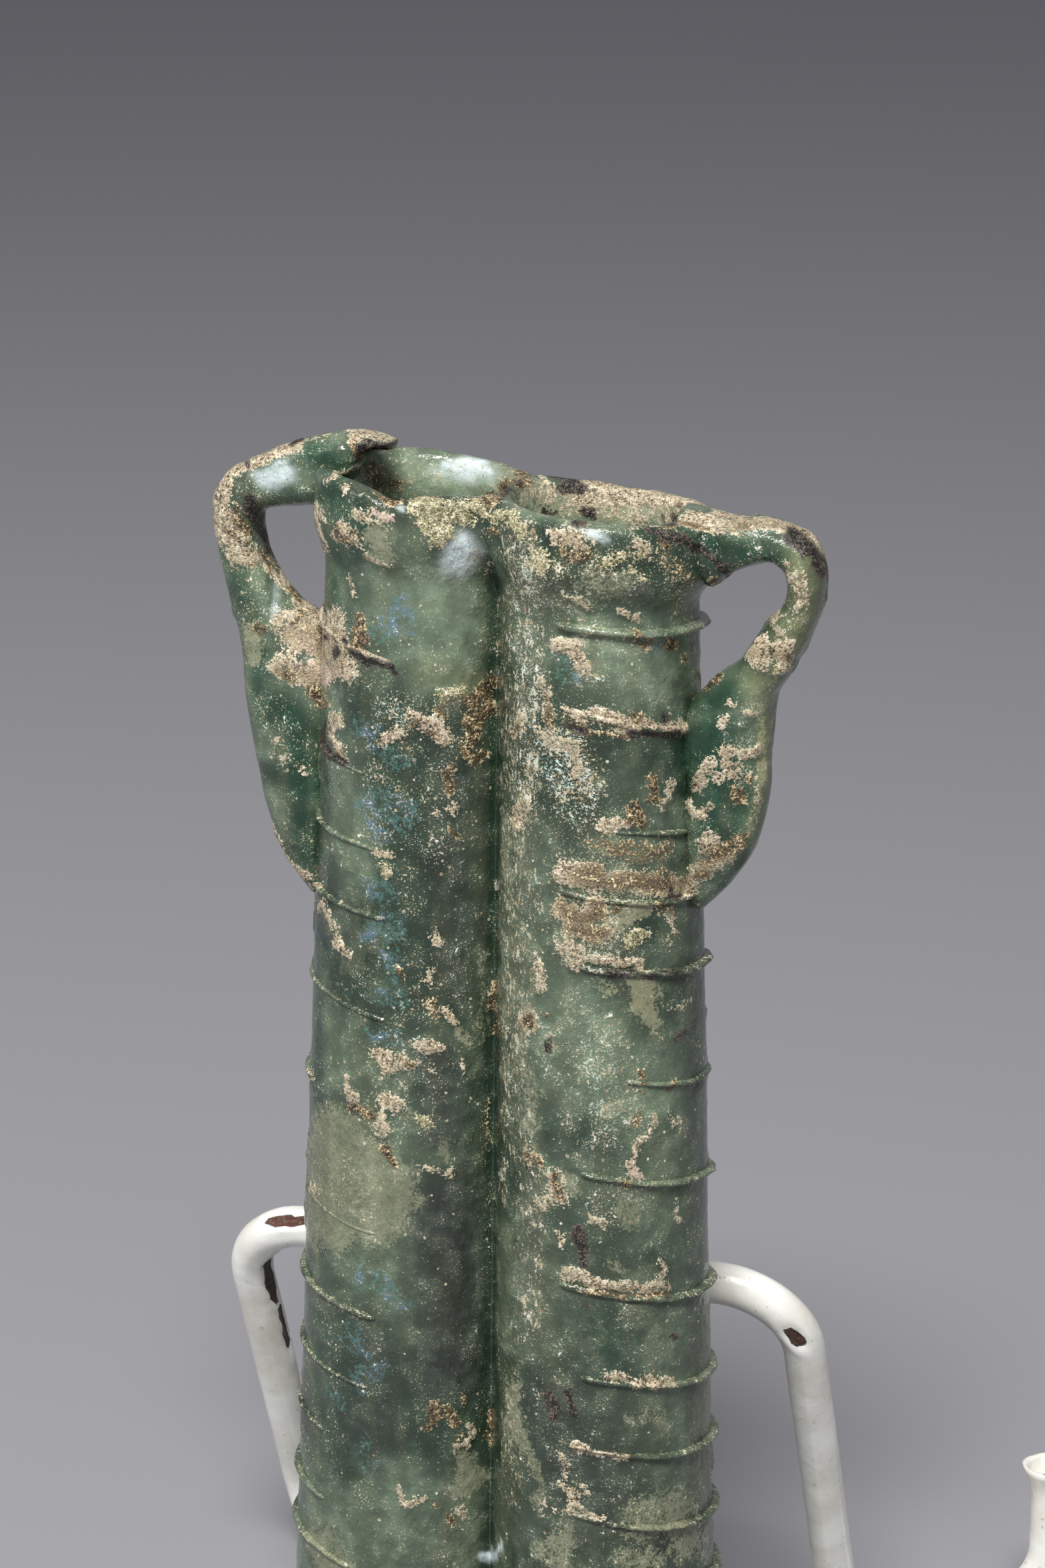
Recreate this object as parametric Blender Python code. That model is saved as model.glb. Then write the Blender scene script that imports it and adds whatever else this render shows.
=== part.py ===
"""Double glass unguentarium standing in a stand of bent coated wire.

Two tubes side by side share one wall. Two handles rise from the rims, bend over and run down the outer
sides as long tails, and a glass thread is wound around both tubes. The vessel stands on its own flat
foot at the origin. +X runs from the left tube to the right one, +Y to the back, +Z up. Lengths are metres.
"""
from math import asin, cos, hypot, pi, radians, sin

import bmesh
import bpy
from mathutils import Vector

# Vessel
RIM_HEIGHT = 0.1355
RIM_FALL = 0.085            # how much the rims drop per metre towards the right tube
RIM_FALL_DEPTH = 0.012      # below this depth nothing follows the tilt of the rims
TUBE_RADIUS_TOP = 0.0097
TUBE_RADIUS_FOOT = 0.0120
WALL = 0.0016
SEPTUM = 0.0018             # the wall that both tubes share
FLOOR_THICKNESS = 0.0060
FOOT_ROUNDING = 0.0028
LIP_ROUNDING = 0.0009
LIP_FLARE = 0.0005
COLLAR_SWELL = 0.0013
COLLAR_DEPTH = 0.0090

# Wound thread
THREAD_WIDTH = 0.0014
THREAD_HEIGHT = 0.0008
THREAD_TILT = 0.0020        # how far the coils dip at the right edge and rise at the left one
THREAD_FADE = radians(12)   # past the front and back of each tube the bridging thread is broken off
# Depth of the thread at the vessel's right and left edges in turn, as a share of the rim's height
THREAD_EDGES = (
    0.091, 0.129, 0.167, 0.224, 0.243, 0.283, 0.291, 0.332, 0.346, 0.402, 0.434, 0.480, 0.511,
    0.573, 0.601, 0.640, 0.671, 0.699, 0.726, 0.748, 0.786, 0.805, 0.837, 0.849, 0.882,
)
TURN_COUNT = 12

# Handles
LEFT_REACH = 0.0125
LEFT_TAIL = 0.0436
RIGHT_REACH = 0.0130
RIGHT_TAIL = 0.0412
STRAP_WIDTH = 0.0062

# Wire stand
WIRE_RADIUS = 0.00225
CLEARANCE = 0.0003
BAR_HEIGHT = 0.0484
LEG_SLOPE = 0.47            # how far the legs run back for each metre that they drop
LEFT_LEG_GAP = 0.0127       # from the vessel's side to the leg's middle, at the foot
RIGHT_LEG_GAP = 0.0040
LEFT_RAIL_GAP = 0.0047
BAR_BEND = 0.0085
FLOOR_BEND = 0.0070
RAIL_RETURN = 0.0120        # from the left leg's foot forward to where the rail starts
TIP_OUT = 0.0217
TIP_BACK = 0.0093
TIP_HEIGHT = 0.0191
TIP_FLARE = 0.0010          # the coating opens out into a lip around the wire's cut end
TIP_FLARE_LENGTH = 0.0034
TIP_LIP = 0.0007
TIP_HOLLOW = 0.0016
WIRE_END_GAP = 0.0080       # between the rail's free end and the right leg's foot

# Mesh steps
TUBE_STEPS = 24
CAVITY_STEPS = 22
STRAP_STEPS = 12
WIRE_SIDES = 12
BEND_STEPS = 6

# Handle stations from the upper end to the tip of the tail. Each has the outer edge (out from the tube's
# side, down from the rim), the inner edge (out, down) and the strap's width at both edges. Out is a share
# of the handle's reach, down a share of the tail's length, widths shares of the strap's width.
LEFT_STATIONS = (
    (-0.44, -0.092, -0.43, -0.042, 0.80, 0.70),
    (-0.14, -0.098, -0.18, 0.014, 1.15, 1.20),
    (0.19, -0.080, 0.12, 0.060, 1.12, 1.20),
    (0.54, -0.042, 0.42, 0.069, 1.05, 1.05),
    (0.86, 0.010, 0.61, 0.083, 1.00, 1.00),
    (1.00, 0.085, 0.68, 0.128, 0.97, 0.97),
    (0.95, 0.195, 0.59, 0.220, 0.97, 0.97),
    (0.83, 0.330, 0.38, 0.307, 0.97, 1.02),
    (0.76, 0.430, 0.14, 0.367, 0.95, 1.10),
    (0.71, 0.545, -0.07, 0.480, 0.85, 1.40),
    (0.62, 0.663, -0.07, 0.642, 0.80, 1.40),
    (0.48, 0.820, -0.07, 0.800, 0.75, 1.35),
    (0.28, 0.938, -0.07, 0.895, 0.70, 1.10),
    (0.04, 1.010, -0.05, 0.968, 0.55, 0.75),
)
RIGHT_STATIONS = (
    (-0.07, 0.015, -0.07, 0.097, 0.95, 1.00),
    (0.085, 0.022, 0.13, 0.195, 1.20, 1.25),
    (0.33, 0.034, 0.315, 0.160, 1.12, 1.10),
    (0.66, 0.039, 0.59, 0.131, 1.05, 1.05),
    (0.90, 0.068, 0.70, 0.141, 1.03, 1.03),
    (1.00, 0.136, 0.74, 0.170, 1.00, 1.00),
    (0.99, 0.216, 0.70, 0.228, 1.00, 1.00),
    (0.89, 0.303, 0.546, 0.279, 1.00, 1.00),
    (0.73, 0.400, 0.37, 0.367, 0.97, 1.00),
    (0.615, 0.466, 0.17, 0.415, 0.95, 1.10),
    (0.585, 0.580, -0.06, 0.519, 0.88, 1.40),
    (0.546, 0.714, -0.07, 0.677, 0.85, 1.40),
    (0.446, 0.835, -0.07, 0.800, 0.80, 1.35),
    (0.246, 0.932, -0.06, 0.883, 0.75, 1.15),
    (0.04, 0.998, -0.05, 0.956, 0.60, 0.80),
)


def smooth(t):
    """Ease from 0 to 1 as t goes from 0 to 1."""
    t = min(max(t, 0.0), 1.0)
    return t * t * (3.0 - 2.0 * t)


def clear_scene():
    for obj in list(bpy.data.objects):
        bpy.data.objects.remove(obj, do_unlink=True)


def make_material(name, colour, roughness, transmission=0.0):
    material = bpy.data.materials.new(name)
    material.use_nodes = True
    shader = material.node_tree.nodes["Principled BSDF"]
    shader.inputs["Base Color"].default_value = (*colour, 1.0)
    shader.inputs["Roughness"].default_value = roughness
    shader.inputs["Metallic"].default_value = 0.0
    shader.inputs["Transmission Weight"].default_value = transmission
    return material


def make_object(name, bm, material):
    """Turn a bmesh into an object with smooth sides and crisp edges."""
    bmesh.ops.recalc_face_normals(bm, faces=bm.faces)
    mesh = bpy.data.meshes.new(name)
    bm.to_mesh(mesh)
    bm.free()
    mesh.shade_smooth()
    mesh.set_sharp_from_angle(angle=radians(40))
    mesh.materials.append(material)
    obj = bpy.data.objects.new(name, mesh)
    bpy.context.collection.objects.link(obj)
    return obj


def add_boolean(obj, tool, operation):
    """Join a tool object to the body, or cut it away, and keep the tool out of the model."""
    modifier = obj.modifiers.new(operation.lower() + "_" + tool.name, "BOOLEAN")
    modifier.operation = operation
    modifier.solver = "EXACT"
    modifier.object = tool
    tool.hide_render = True
    tool.display_type = "WIRE"


def bridge(bm, upper, lower):
    """Join two closed rings of the same length with quads."""
    for i in range(len(upper)):
        j = (i + 1) % len(upper)
        bm.faces.new((upper[i], upper[j], lower[j], lower[i]))


# Sizes that follow from the depth below the rim
def tube_radius(depth):
    share = depth / RIM_HEIGHT
    return TUBE_RADIUS_TOP + (TUBE_RADIUS_FOOT - TUBE_RADIUS_TOP) * share


def tube_offset(depth):
    """Distance from the vessel's middle to each tube's own axis."""
    return tube_radius(depth) - WALL + SEPTUM / 2


def vessel_side(depth):
    """Distance from the vessel's middle to its outer side, without the collar."""
    return tube_offset(depth) + tube_radius(depth)


def collar(depth):
    """How far the thickened rim stands out at a depth, with its rounded lip."""
    swell = COLLAR_SWELL * smooth(1.0 - depth / COLLAR_DEPTH)
    if depth < LIP_ROUNDING:
        height = 1.0 - depth / LIP_ROUNDING
        swell -= LIP_ROUNDING * (1.0 - cos(asin(height)))
    return swell


def level(x, depth):
    """Height of a point at a depth below the tilted rims."""
    tilt = smooth(1.0 - depth / RIM_FALL_DEPTH)
    return RIM_HEIGHT - depth - RIM_FALL * x * tilt


def outline(index, depth, proud=0.0):
    """A point of the figure-eight outline: x, y and the angle from the tube's outer side.

    Points run counter-clockwise seen from above, from the front valley around the right tube to the back
    valley, and on around the left tube. The proud distance stands the point out from the tube's wall.
    """
    side = 1.0 if index < TUBE_STEPS else -1.0
    step = index % TUBE_STEPS
    radius = tube_radius(depth) + collar(depth)
    offset = tube_offset(depth)
    valley = pi - asin((radius ** 2 - offset ** 2) ** 0.5 / radius)
    angle = -valley + 2.0 * valley * step / TUBE_STEPS
    reach = radius + proud
    x = side * (offset + reach * cos(angle))
    y = side * reach * sin(angle)
    return x, y, angle


def thread_height(angle, turn):
    """How far the wound thread stands out: it is lost where it bridged from tube to tube."""
    past = max(0.0, abs(angle) - pi / 2)
    worn = smooth(1.0 - past / THREAD_FADE)
    ends = smooth(turn / 0.1) * smooth((TURN_COUNT - turn) / 0.1)
    return THREAD_HEIGHT * worn * ends


def thread_depth(turn, x):
    """Depth of the wound thread after a number of turns from the front valley."""
    place = 2.0 * (turn - 0.25)
    first = min(max(int(place // 1), 0), len(THREAD_EDGES) - 2)
    above, below = THREAD_EDGES[first:first + 2]
    depth = (above + (below - above) * (place - first)) * RIM_HEIGHT
    return depth + THREAD_TILT * (x / vessel_side(depth) - 1.0)


def make_skin(material):
    """The vessel's outside, with its skin's rows following the wound thread."""
    bm = bmesh.new()
    count = 2 * TUBE_STEPS

    def ring(depth, inset=0.0):
        points = []
        side = vessel_side(depth)
        for index in range(count):
            x, y, _ = outline(index, depth)
            x *= 1.0 - inset / side
            y *= 1.0 - inset / tube_radius(depth)
            points.append(bm.verts.new((x, y, level(x, depth))))
        return points

    lip = [ring(LIP_ROUNDING * share) for share in (0.0, 0.2, 0.5, 1.0)]
    neck = [ring(COLLAR_DEPTH * share) for share in (0.4, 0.68)]
    upper = lip + neck
    bm.faces.new(reversed(upper[0]))
    for above, below in zip(upper, upper[1:]):
        bridge(bm, above, below)

    # One strand along each edge of the thread, and one along its crest
    strands = []
    for shift, crest in ((-0.5, 0.0), (0.0, 1.0), (0.5, 0.0)):
        strand = []
        for step in range(TURN_COUNT * count + 1):
            turn = step / count
            index = step % count
            x, _, angle = outline(index, thread_depth(turn, 0.0))
            depth = thread_depth(turn, x) + shift * THREAD_WIDTH
            x, y, _ = outline(index, depth, crest * thread_height(angle, turn))
            strand.append(bm.verts.new((x, y, level(x, depth))))
        strands.append(strand)
    top, crest, low = strands
    last = TURN_COUNT * count
    for step in range(last):
        bm.faces.new((top[step], top[step + 1], crest[step + 1], crest[step]))
        bm.faces.new((crest[step], crest[step + 1], low[step + 1], low[step]))
    for step in range(last - count):
        bm.faces.new((low[step], low[step + 1], top[step + count + 1], top[step + count]))

    # The first turn hangs from the collar and the last one ends on the foot, each with one closing fan
    above = upper[-1]
    for step in range(count - 1):
        bm.faces.new((above[step], above[step + 1], top[step + 1], top[step]))
    chain = (above[-1], above[0], top[0], crest[0], low[0], top[count])
    for first, second in zip(chain, chain[1:]):
        bm.faces.new((top[count - 1], first, second))

    foot = [ring(RIM_HEIGHT - FOOT_ROUNDING * share, FOOT_ROUNDING * inset)
            for share, inset in ((1.0, 0.0), (0.29, 0.29), (0.0, 1.0))]
    below = foot[0]
    start = last - count
    for step in range(1, count):
        bm.faces.new((low[start + step], low[start + step + 1], below[(step + 1) % count], below[step]))
    chain = (low[start], top[last], crest[last], low[last], below[0], below[1])
    for first, second in zip(chain, chain[1:]):
        bm.faces.new((low[start + 1], first, second))
    for high, lower in zip(foot, foot[1:]):
        bridge(bm, high, lower)
    bm.faces.new(foot[-1])
    return make_object("double_unguentarium", bm, material)


def make_cavity(name, side, material):
    """The hollow of one tube, open at the mouth, with a rounded bottom."""
    bm = bmesh.new()
    bottom = RIM_HEIGHT - FLOOR_THICKNESS
    rounding = tube_radius(bottom) - WALL
    rows = [(-CLEARANCE, LIP_FLARE), (0.0, LIP_FLARE), (LIP_ROUNDING, LIP_FLARE * 0.2), (RIM_FALL_DEPTH, 0.0)]
    rows += [(bottom - rounding * (1.0 - sin(a)), -rounding * (1.0 - cos(a)))
             for a in (0.0, radians(35), radians(65))]
    rings = []
    for depth, flare in rows:
        ring = []
        radius = tube_radius(depth) - WALL + flare
        for step in range(CAVITY_STEPS):
            angle = 2.0 * pi * step / CAVITY_STEPS
            x = side * (tube_offset(depth) + radius * cos(angle))
            y = side * radius * sin(angle)
            ring.append(bm.verts.new((x, y, level(x, depth))))
        rings.append(ring)
    bm.faces.new(reversed(rings[0]))
    for above, below in zip(rings, rings[1:]):
        bridge(bm, above, below)
    bm.faces.new(rings[-1])
    return make_object(name, bm, material)


def make_handle(name, side, reach, tail, stations, material):
    """A strap from the rim over its bend and down the tube's side, where it runs out as a tail."""
    bm = bmesh.new()
    rings = []
    for outer_out, outer_down, inner_out, inner_down, outer_width, inner_width in stations:
        ends = []
        for out, down in ((outer_out, outer_down), (inner_out, inner_down)):
            depth = down * tail
            x = side * (vessel_side(max(depth, 0.0)) + out * reach)
            ends.append(Vector((x, 0.0, RIM_HEIGHT - depth)))
        middle = (ends[0] + ends[1]) / 2
        half = (ends[0] - ends[1]) / 2
        ring = []
        for step in range(STRAP_STEPS):
            angle = 2.0 * pi * (step + 0.5) / STRAP_STEPS
            along = round_corner(cos(angle))
            across = round_corner(sin(angle))
            width = inner_width + (outer_width - inner_width) * (along + 1.0) / 2
            point = middle + half * along
            point.y = across * width * STRAP_WIDTH / 2
            ring.append(bm.verts.new(point))
        rings.append(ring)
    bm.faces.new(rings[0])
    for above, below in zip(rings, rings[1:]):
        bridge(bm, above, below)
    bm.faces.new(reversed(rings[-1]))
    return make_object(name, bm, material)


def round_corner(value, power=0.62):
    """Square a circle's coordinate up into a rounded rectangle's."""
    return abs(value) ** power * (1.0 if value > 0.0 else -1.0)


def make_vessel(glass):
    skin = make_skin(glass)
    left = make_handle("left_handle", -1.0, LEFT_REACH, LEFT_TAIL, LEFT_STATIONS, glass)
    right = make_handle("right_handle", 1.0, RIGHT_REACH, RIGHT_TAIL, RIGHT_STATIONS, glass)
    add_boolean(skin, left, "UNION")
    add_boolean(skin, right, "UNION")
    for name, side in (("left_cavity", -1.0), ("right_cavity", 1.0)):
        add_boolean(skin, make_cavity(name, side, glass), "DIFFERENCE")
    return skin


def bent_route(corners):
    """Points along a wire that runs straight from corner to corner, with a round bend at each."""
    points = [corners[0][0]]
    for (before, _), (corner, radius), (after, _) in zip(corners, corners[1:], corners[2:]):
        back = (before - corner).normalized()
        ahead = (after - corner).normalized()
        half = back.angle(ahead) / 2
        setback = radius / abs(sin(half) / cos(half))
        start = corner + back * setback
        end = corner + ahead * setback
        centre = corner + (back + ahead).normalized() * hypot(radius, setback)
        for step in range(BEND_STEPS + 1):
            arm = (start - centre).normalized().slerp((end - centre).normalized(), step / BEND_STEPS)
            points.append(centre + arm * radius)
    points.append(corners[-1][0])
    return points


def stand_corners():
    """The wire's corners, from the upturned tip through the right leg, bar and left leg to the rail."""
    rest = WIRE_RADIUS * cos(pi / WIRE_SIDES)
    bar_depth = RIM_HEIGHT - BAR_HEIGHT
    bar_y = tube_radius(bar_depth) + THREAD_HEIGHT + CLEARANCE + WIRE_RADIUS
    leg_y = bar_y + LEG_SLOPE * (BAR_HEIGHT - rest)
    side = vessel_side(RIM_HEIGHT)
    right = side + RIGHT_LEG_GAP
    left = -side - LEFT_LEG_GAP
    rail = -side - LEFT_RAIL_GAP
    front = -tube_radius(RIM_HEIGHT) - THREAD_HEIGHT - CLEARANCE - WIRE_RADIUS
    tip_x = right + TIP_OUT
    tip_y = leg_y + TIP_BACK
    return [
        (Vector((tip_x, tip_y, TIP_HEIGHT)), 0.0),
        (Vector((tip_x, tip_y, WIRE_RADIUS)), FLOOR_BEND),
        (Vector((right, leg_y, WIRE_RADIUS)), FLOOR_BEND),
        (Vector((right, bar_y, BAR_HEIGHT)), BAR_BEND),
        (Vector((left, bar_y, BAR_HEIGHT)), BAR_BEND),
        (Vector((left, leg_y, rest)), FLOOR_BEND),
        (Vector((rail, leg_y - RAIL_RETURN, rest)), FLOOR_BEND),
        (Vector((rail, front, rest)), FLOOR_BEND),
        (Vector((right, front, rest)), FLOOR_BEND),
        (Vector((right, leg_y - WIRE_END_GAP, rest)), 0.0),
    ]


def flared_end(tip):
    """Points and radii of the flared lip, from the bottom of its hollow over the lip to the plain wire."""
    flared = WIRE_RADIUS + TIP_FLARE
    rows = (
        (TIP_HOLLOW, WIRE_RADIUS),
        (0.0, flared - TIP_LIP),
        (0.0, flared),
        (TIP_FLARE_LENGTH * 0.45, WIRE_RADIUS + TIP_FLARE * 0.35),
        (TIP_FLARE_LENGTH, WIRE_RADIUS),
    )
    return [(tip - Vector((0.0, 0.0, drop)), radius) for drop, radius in rows]


def make_stand(coating):
    """The stand as one bent wire, with a flat side down wherever it lies on the table."""
    points = bent_route(stand_corners())
    tangents = []
    for index in range(len(points)):
        before = points[max(index - 1, 0)]
        after = points[min(index + 1, len(points) - 1)]
        tangents.append((after - before).normalized())
    # The section is carried back from the rail's free end without twist, so the rail lies flat
    sides = [tangents[-1].cross(Vector((0.0, 0.0, 1.0)))]
    for tangent in reversed(tangents[:-1]):
        side = sides[0] - tangent * sides[0].dot(tangent)
        sides.insert(0, side.normalized())
    end = flared_end(points[0])
    sections = [(point, radius, tangents[0], sides[0]) for point, radius in end]
    sections += [(point, WIRE_RADIUS, tangent, side)
                 for point, tangent, side in zip(points[1:], tangents[1:], sides[1:])]
    bm = bmesh.new()
    rings = []
    for point, radius, tangent, side in sections:
        normal = side.cross(tangent)
        ring = []
        for step in range(WIRE_SIDES):
            angle = 2.0 * pi * (step + 0.5) / WIRE_SIDES
            ring.append(bm.verts.new(point + (side * sin(angle) + normal * cos(angle)) * radius))
        rings.append(ring)
    bm.faces.new(rings[0])
    for above, below in zip(rings, rings[1:]):
        bridge(bm, above, below)
    bm.faces.new(reversed(rings[-1]))
    return make_object("wire_stand", bm, coating)


def main():
    clear_scene()
    glass = make_material("aged_glass", (0.36, 0.50, 0.44), 0.25, 0.6)
    coating = make_material("white_coating", (0.80, 0.79, 0.76), 0.35)
    make_vessel(glass)
    make_stand(coating)


main()
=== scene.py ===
"""Looks of the double glass unguentarium on its wire stand.

Lengths are millimetres in the model's own frame: +X runs from the left tube to the right one, +Y to the
back, +Z up, and the middle of the vessel's foot is the origin. Meshes go to metres when they are made.
"""
from math import asin, cos, hypot, pi, radians, sin

import bmesh
import bpy
import numpy as np
from mathutils import Matrix, Vector


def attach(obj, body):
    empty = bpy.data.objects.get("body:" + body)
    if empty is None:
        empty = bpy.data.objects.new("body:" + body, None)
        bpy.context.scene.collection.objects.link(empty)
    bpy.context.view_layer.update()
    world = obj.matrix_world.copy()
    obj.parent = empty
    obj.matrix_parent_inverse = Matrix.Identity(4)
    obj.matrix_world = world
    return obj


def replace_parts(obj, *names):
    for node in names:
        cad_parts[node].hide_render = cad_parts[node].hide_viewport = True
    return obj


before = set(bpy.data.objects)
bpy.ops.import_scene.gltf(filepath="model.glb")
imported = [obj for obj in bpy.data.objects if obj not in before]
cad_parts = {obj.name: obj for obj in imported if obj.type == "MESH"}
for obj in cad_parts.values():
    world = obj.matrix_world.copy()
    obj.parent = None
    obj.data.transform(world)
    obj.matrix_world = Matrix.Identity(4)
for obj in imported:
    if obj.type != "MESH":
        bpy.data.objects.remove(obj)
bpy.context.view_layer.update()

MM = 0.001

# Vessel, as the solids have it
RIM_HEIGHT = 135.5
RIM_FALL = 0.085
RIM_FALL_DEPTH = 12.0
TUBE_RADIUS_TOP = 9.7
TUBE_RADIUS_FOOT = 12.0
WALL = 1.6
SEPTUM = 1.8
FLOOR_THICKNESS = 6.0
FOOT_ROUNDING = 2.8
LIP = 0.9
LIP_FLARE = 0.5

# Collars, worn rims and insides, finer than in the solids
COLLAR_SWELL = 1.3
COLLAR_DEPTH_LEFT = 8.6
COLLAR_DEPTH_RIGHT = 10.6
COLLAR_BULGE = 1.2          # more of it on the right tube's outer side
VALLEY_FILLET = 0.8
RIM_FILLET = 2.8            # more of it at the rims
FILLET_DEPTH = 12.0
# Dips in the worn rims: depth, middle (x, y) and reach along both
RIM_DIPS = ((1.1, -8.9, -9.5, 2.4, 4.0), (0.7, 10.0, 9.0, 6.0, 5.0))
RIM_WAVE = 0.6
RIM_WAVE_SIZE = 3.5
LIP_FLARE_DEPTH = 3.0
INSIDE_WAVE = 0.25
INSIDE_WAVE_SIZE = 8.0
CALM_DEPTH = 3.0            # the relief fades this far from the lips and the foot
LIP_RELIEF = 0.3            # share of it that is left at the lips

# Wound thread, thinner than in the solids
THREAD_WIDTH = 1.0
THREAD_HEIGHT = 0.75
THREAD_SUNK = 0.25
FIRST_X = 10.0              # first guess of how far out a coil runs
THREAD_SWAY = 0.5
THREAD_SWAY_SIZE = 5.0
THREAD_TAPER = 0.02         # share of a coil that thins out at each end
THREAD_LUMPS = (0.85, 0.3)  # least width and height, and more on the lumps
THREAD_LUMP_SIZE = 1.6
THREAD_CRUST = 0.7
THREAD_CRUST_LEAST = 0.45
THREAD_CRUST_SIZE = 2.5
THREAD_YELLOW = 0.35
QUARTER_TURN = 0.25         # from the front valley to a tube's outer side
COIL_RUN = 0.8              # how much of its turn each half coil falls
COIL_STAND_EDGES = (0.4, 0.9)
COIL_STAND = 0.45           # share more that a coil stands out on the tubes' outer sides
THREAD_TILT = 2.0
THREAD_EDGES = (
    0.091, 0.129, 0.167, 0.224, 0.243, 0.283, 0.291, 0.332, 0.346, 0.402, 0.434, 0.480, 0.511,
    0.573, 0.601, 0.640, 0.671, 0.699, 0.726, 0.748, 0.786, 0.805, 0.837, 0.849, 0.882,
)

# Which part of each coil is left, in degrees from the tube's outer side (front negative on the right
# tube, positive on the left one), with its width, height and how crusted it is
RIGHT_COILS = (
    (-98, 100, 0.95, 1.3, 0.1), (-96, 100, 1.0, 0.9, 0.8), (-73, 96, 0.6, 0.6, 0.3),
    (-97, 98, 0.75, 0.8, 0.5), (-85, 104, 0.85, 1.0, 0.4), (-60, 95, 0.6, 0.7, 0.0),
    (-84, 100, 0.65, 1.0, 0.1), (-96, 98, 0.8, 0.9, 0.4), (-84, 102, 0.65, 0.9, 0.2),
    (-93, 96, 0.65, 0.9, 0.2), (-88, 98, 0.7, 0.9, 0.2), (-84, 99, 0.9, 1.0, 0.2),
)
LEFT_COILS = (
    (-60, 94, 1.0, 0.8, 1.0), (-98, 90, 0.5, 0.5, 0.2), (-95, 88, 0.6, 0.6, 0.4), (-100, 92, 0.7, 0.7, 0.1),
    (-98, 94, 0.7, 0.7, 0.3), (-96, 40, 0.7, 0.8, 0.1), (-99, 92, 0.5, 0.5, 0.1), (-97, 92, 0.7, 0.8, 0.2),
    (-95, 90, 0.55, 0.6, 0.3), (-98, 60, 0.6, 0.6, 0.1), (-94, 62, 0.7, 0.7, 0.2), (-97, 80, 0.7, 0.8, 0.3),
)

# Handles
LEFT_REACH = 12.5
LEFT_TAIL = 43.6
RIGHT_REACH = 13.0
RIGHT_TAIL = 41.2
STRAP_WIDTH = 6.2
STRAP_SQUARENESS = 0.75     # 1 is an oval section, less is squarer
STRAP_WAVE = 0.5
STRAP_WAVE_SIZE = 4.0
LEFT_SWAY = 1.0             # how far back the strap's upper end stands
SWAY_SHARE = 0.3            # share of the strap that bends back

# Wire stand
WIRE_RADIUS = 2.25
WIRE_SIDES = 12
CLEARANCE = 0.3
BAR_HEIGHT = 48.4
LEG_SLOPE = 0.47
LEFT_LEG_GAP = 12.7
RIGHT_LEG_GAP = 4.0
LEFT_RAIL_GAP = 4.7
BAR_BEND = 8.5
FLOOR_BEND = 7.0
RAIL_RETURN = 12.0
TIP_OUT = 21.7
TIP_BACK = 9.3
TIP_HEIGHT = 19.1
TIP_FLARE = 1.0
TIP_FLARE_LENGTH = 3.4
TIP_LIP = 0.7
TIP_HOLLOW = 1.6
TIP_FLARE_CURVE = 1.6
TIP_FLOOR_WIDTH = 0.3       # share of the wire's radius, and so are the next two
TIP_HOLLOW_WIDTH = 0.98
WIRE_END_WIDTH = 0.85
WIRE_END_GAP = 8.0
WIRE_END_ROUNDING = 0.3
TIP_FLARE_RINGS = 12
TIP_EDGE = 0.25
COATING_WAVE = 0.10
COATING_WAVE_SIZE = 3.0
CHIP_DEPTH = 0.35
CHIP_RIM = 0.16
CHIP_WOBBLE = 0.9
CHIP_WOBBLE_SIZE = 1.2
# Shares of a chip's size: where the coating starts, and where its rim rises and falls
CHIP_EDGES = (0.6, 1.2)
CHIP_RISE = (0.9, 1.4)
CHIP_FALL = (1.4, 2.1)
# Chips in the stand's coating: place (x, y, z), half-length and half-width, and how red the bare wire is
CHIPS = (
    (-30.0, 12.6, 49.6, 4.0, 0.8, 0.5),
    (-33.5, 17.5, 41.0, 6.5, 0.95, 0.1),
    (-33.6, 22.0, 33.0, 5.0, 0.85, 0.1),
    (27.0, 14.9, 43.6, 1.7, 1.0, 0.25),
    (49.0, 46.0, 19.0, 2.2, 2.2, 0.6),
    (10.0, 15.6, 50.4, 1.4, 0.6, 0.7),
    (27.2, 30.0, 14.0, 1.0, 0.6, 0.5),
    (-20.0, -16.0, 4.2, 1.6, 0.6, 0.6),
)

# Mesh steps
TUBE_COLUMNS = 112
SKIN_ROWS = 318
SEPTUM_COLUMNS = 36
INNER_ROWS = 44
INNER_CROWDING = 1.3        # more crowds the rows towards the lip
FLOOR_TURNS = tuple(radians(turn) for turn in (20, 40, 60, 78))
FOOT_TURNS = tuple(radians(turn) for turn in (30, 60, 90))
LIP_STEPS = 8
HANDLE_ROWS = 190
HANDLE_SIDES = 56
THREAD_STEPS = 120
THREAD_SIDES = 10
BEND_STEPS = 18
COATING_SIDES = 40
COATING_SPACING = 0.9
VALLEY_ROUNDS = 4
THREAD_ROUNDS = 3

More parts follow.
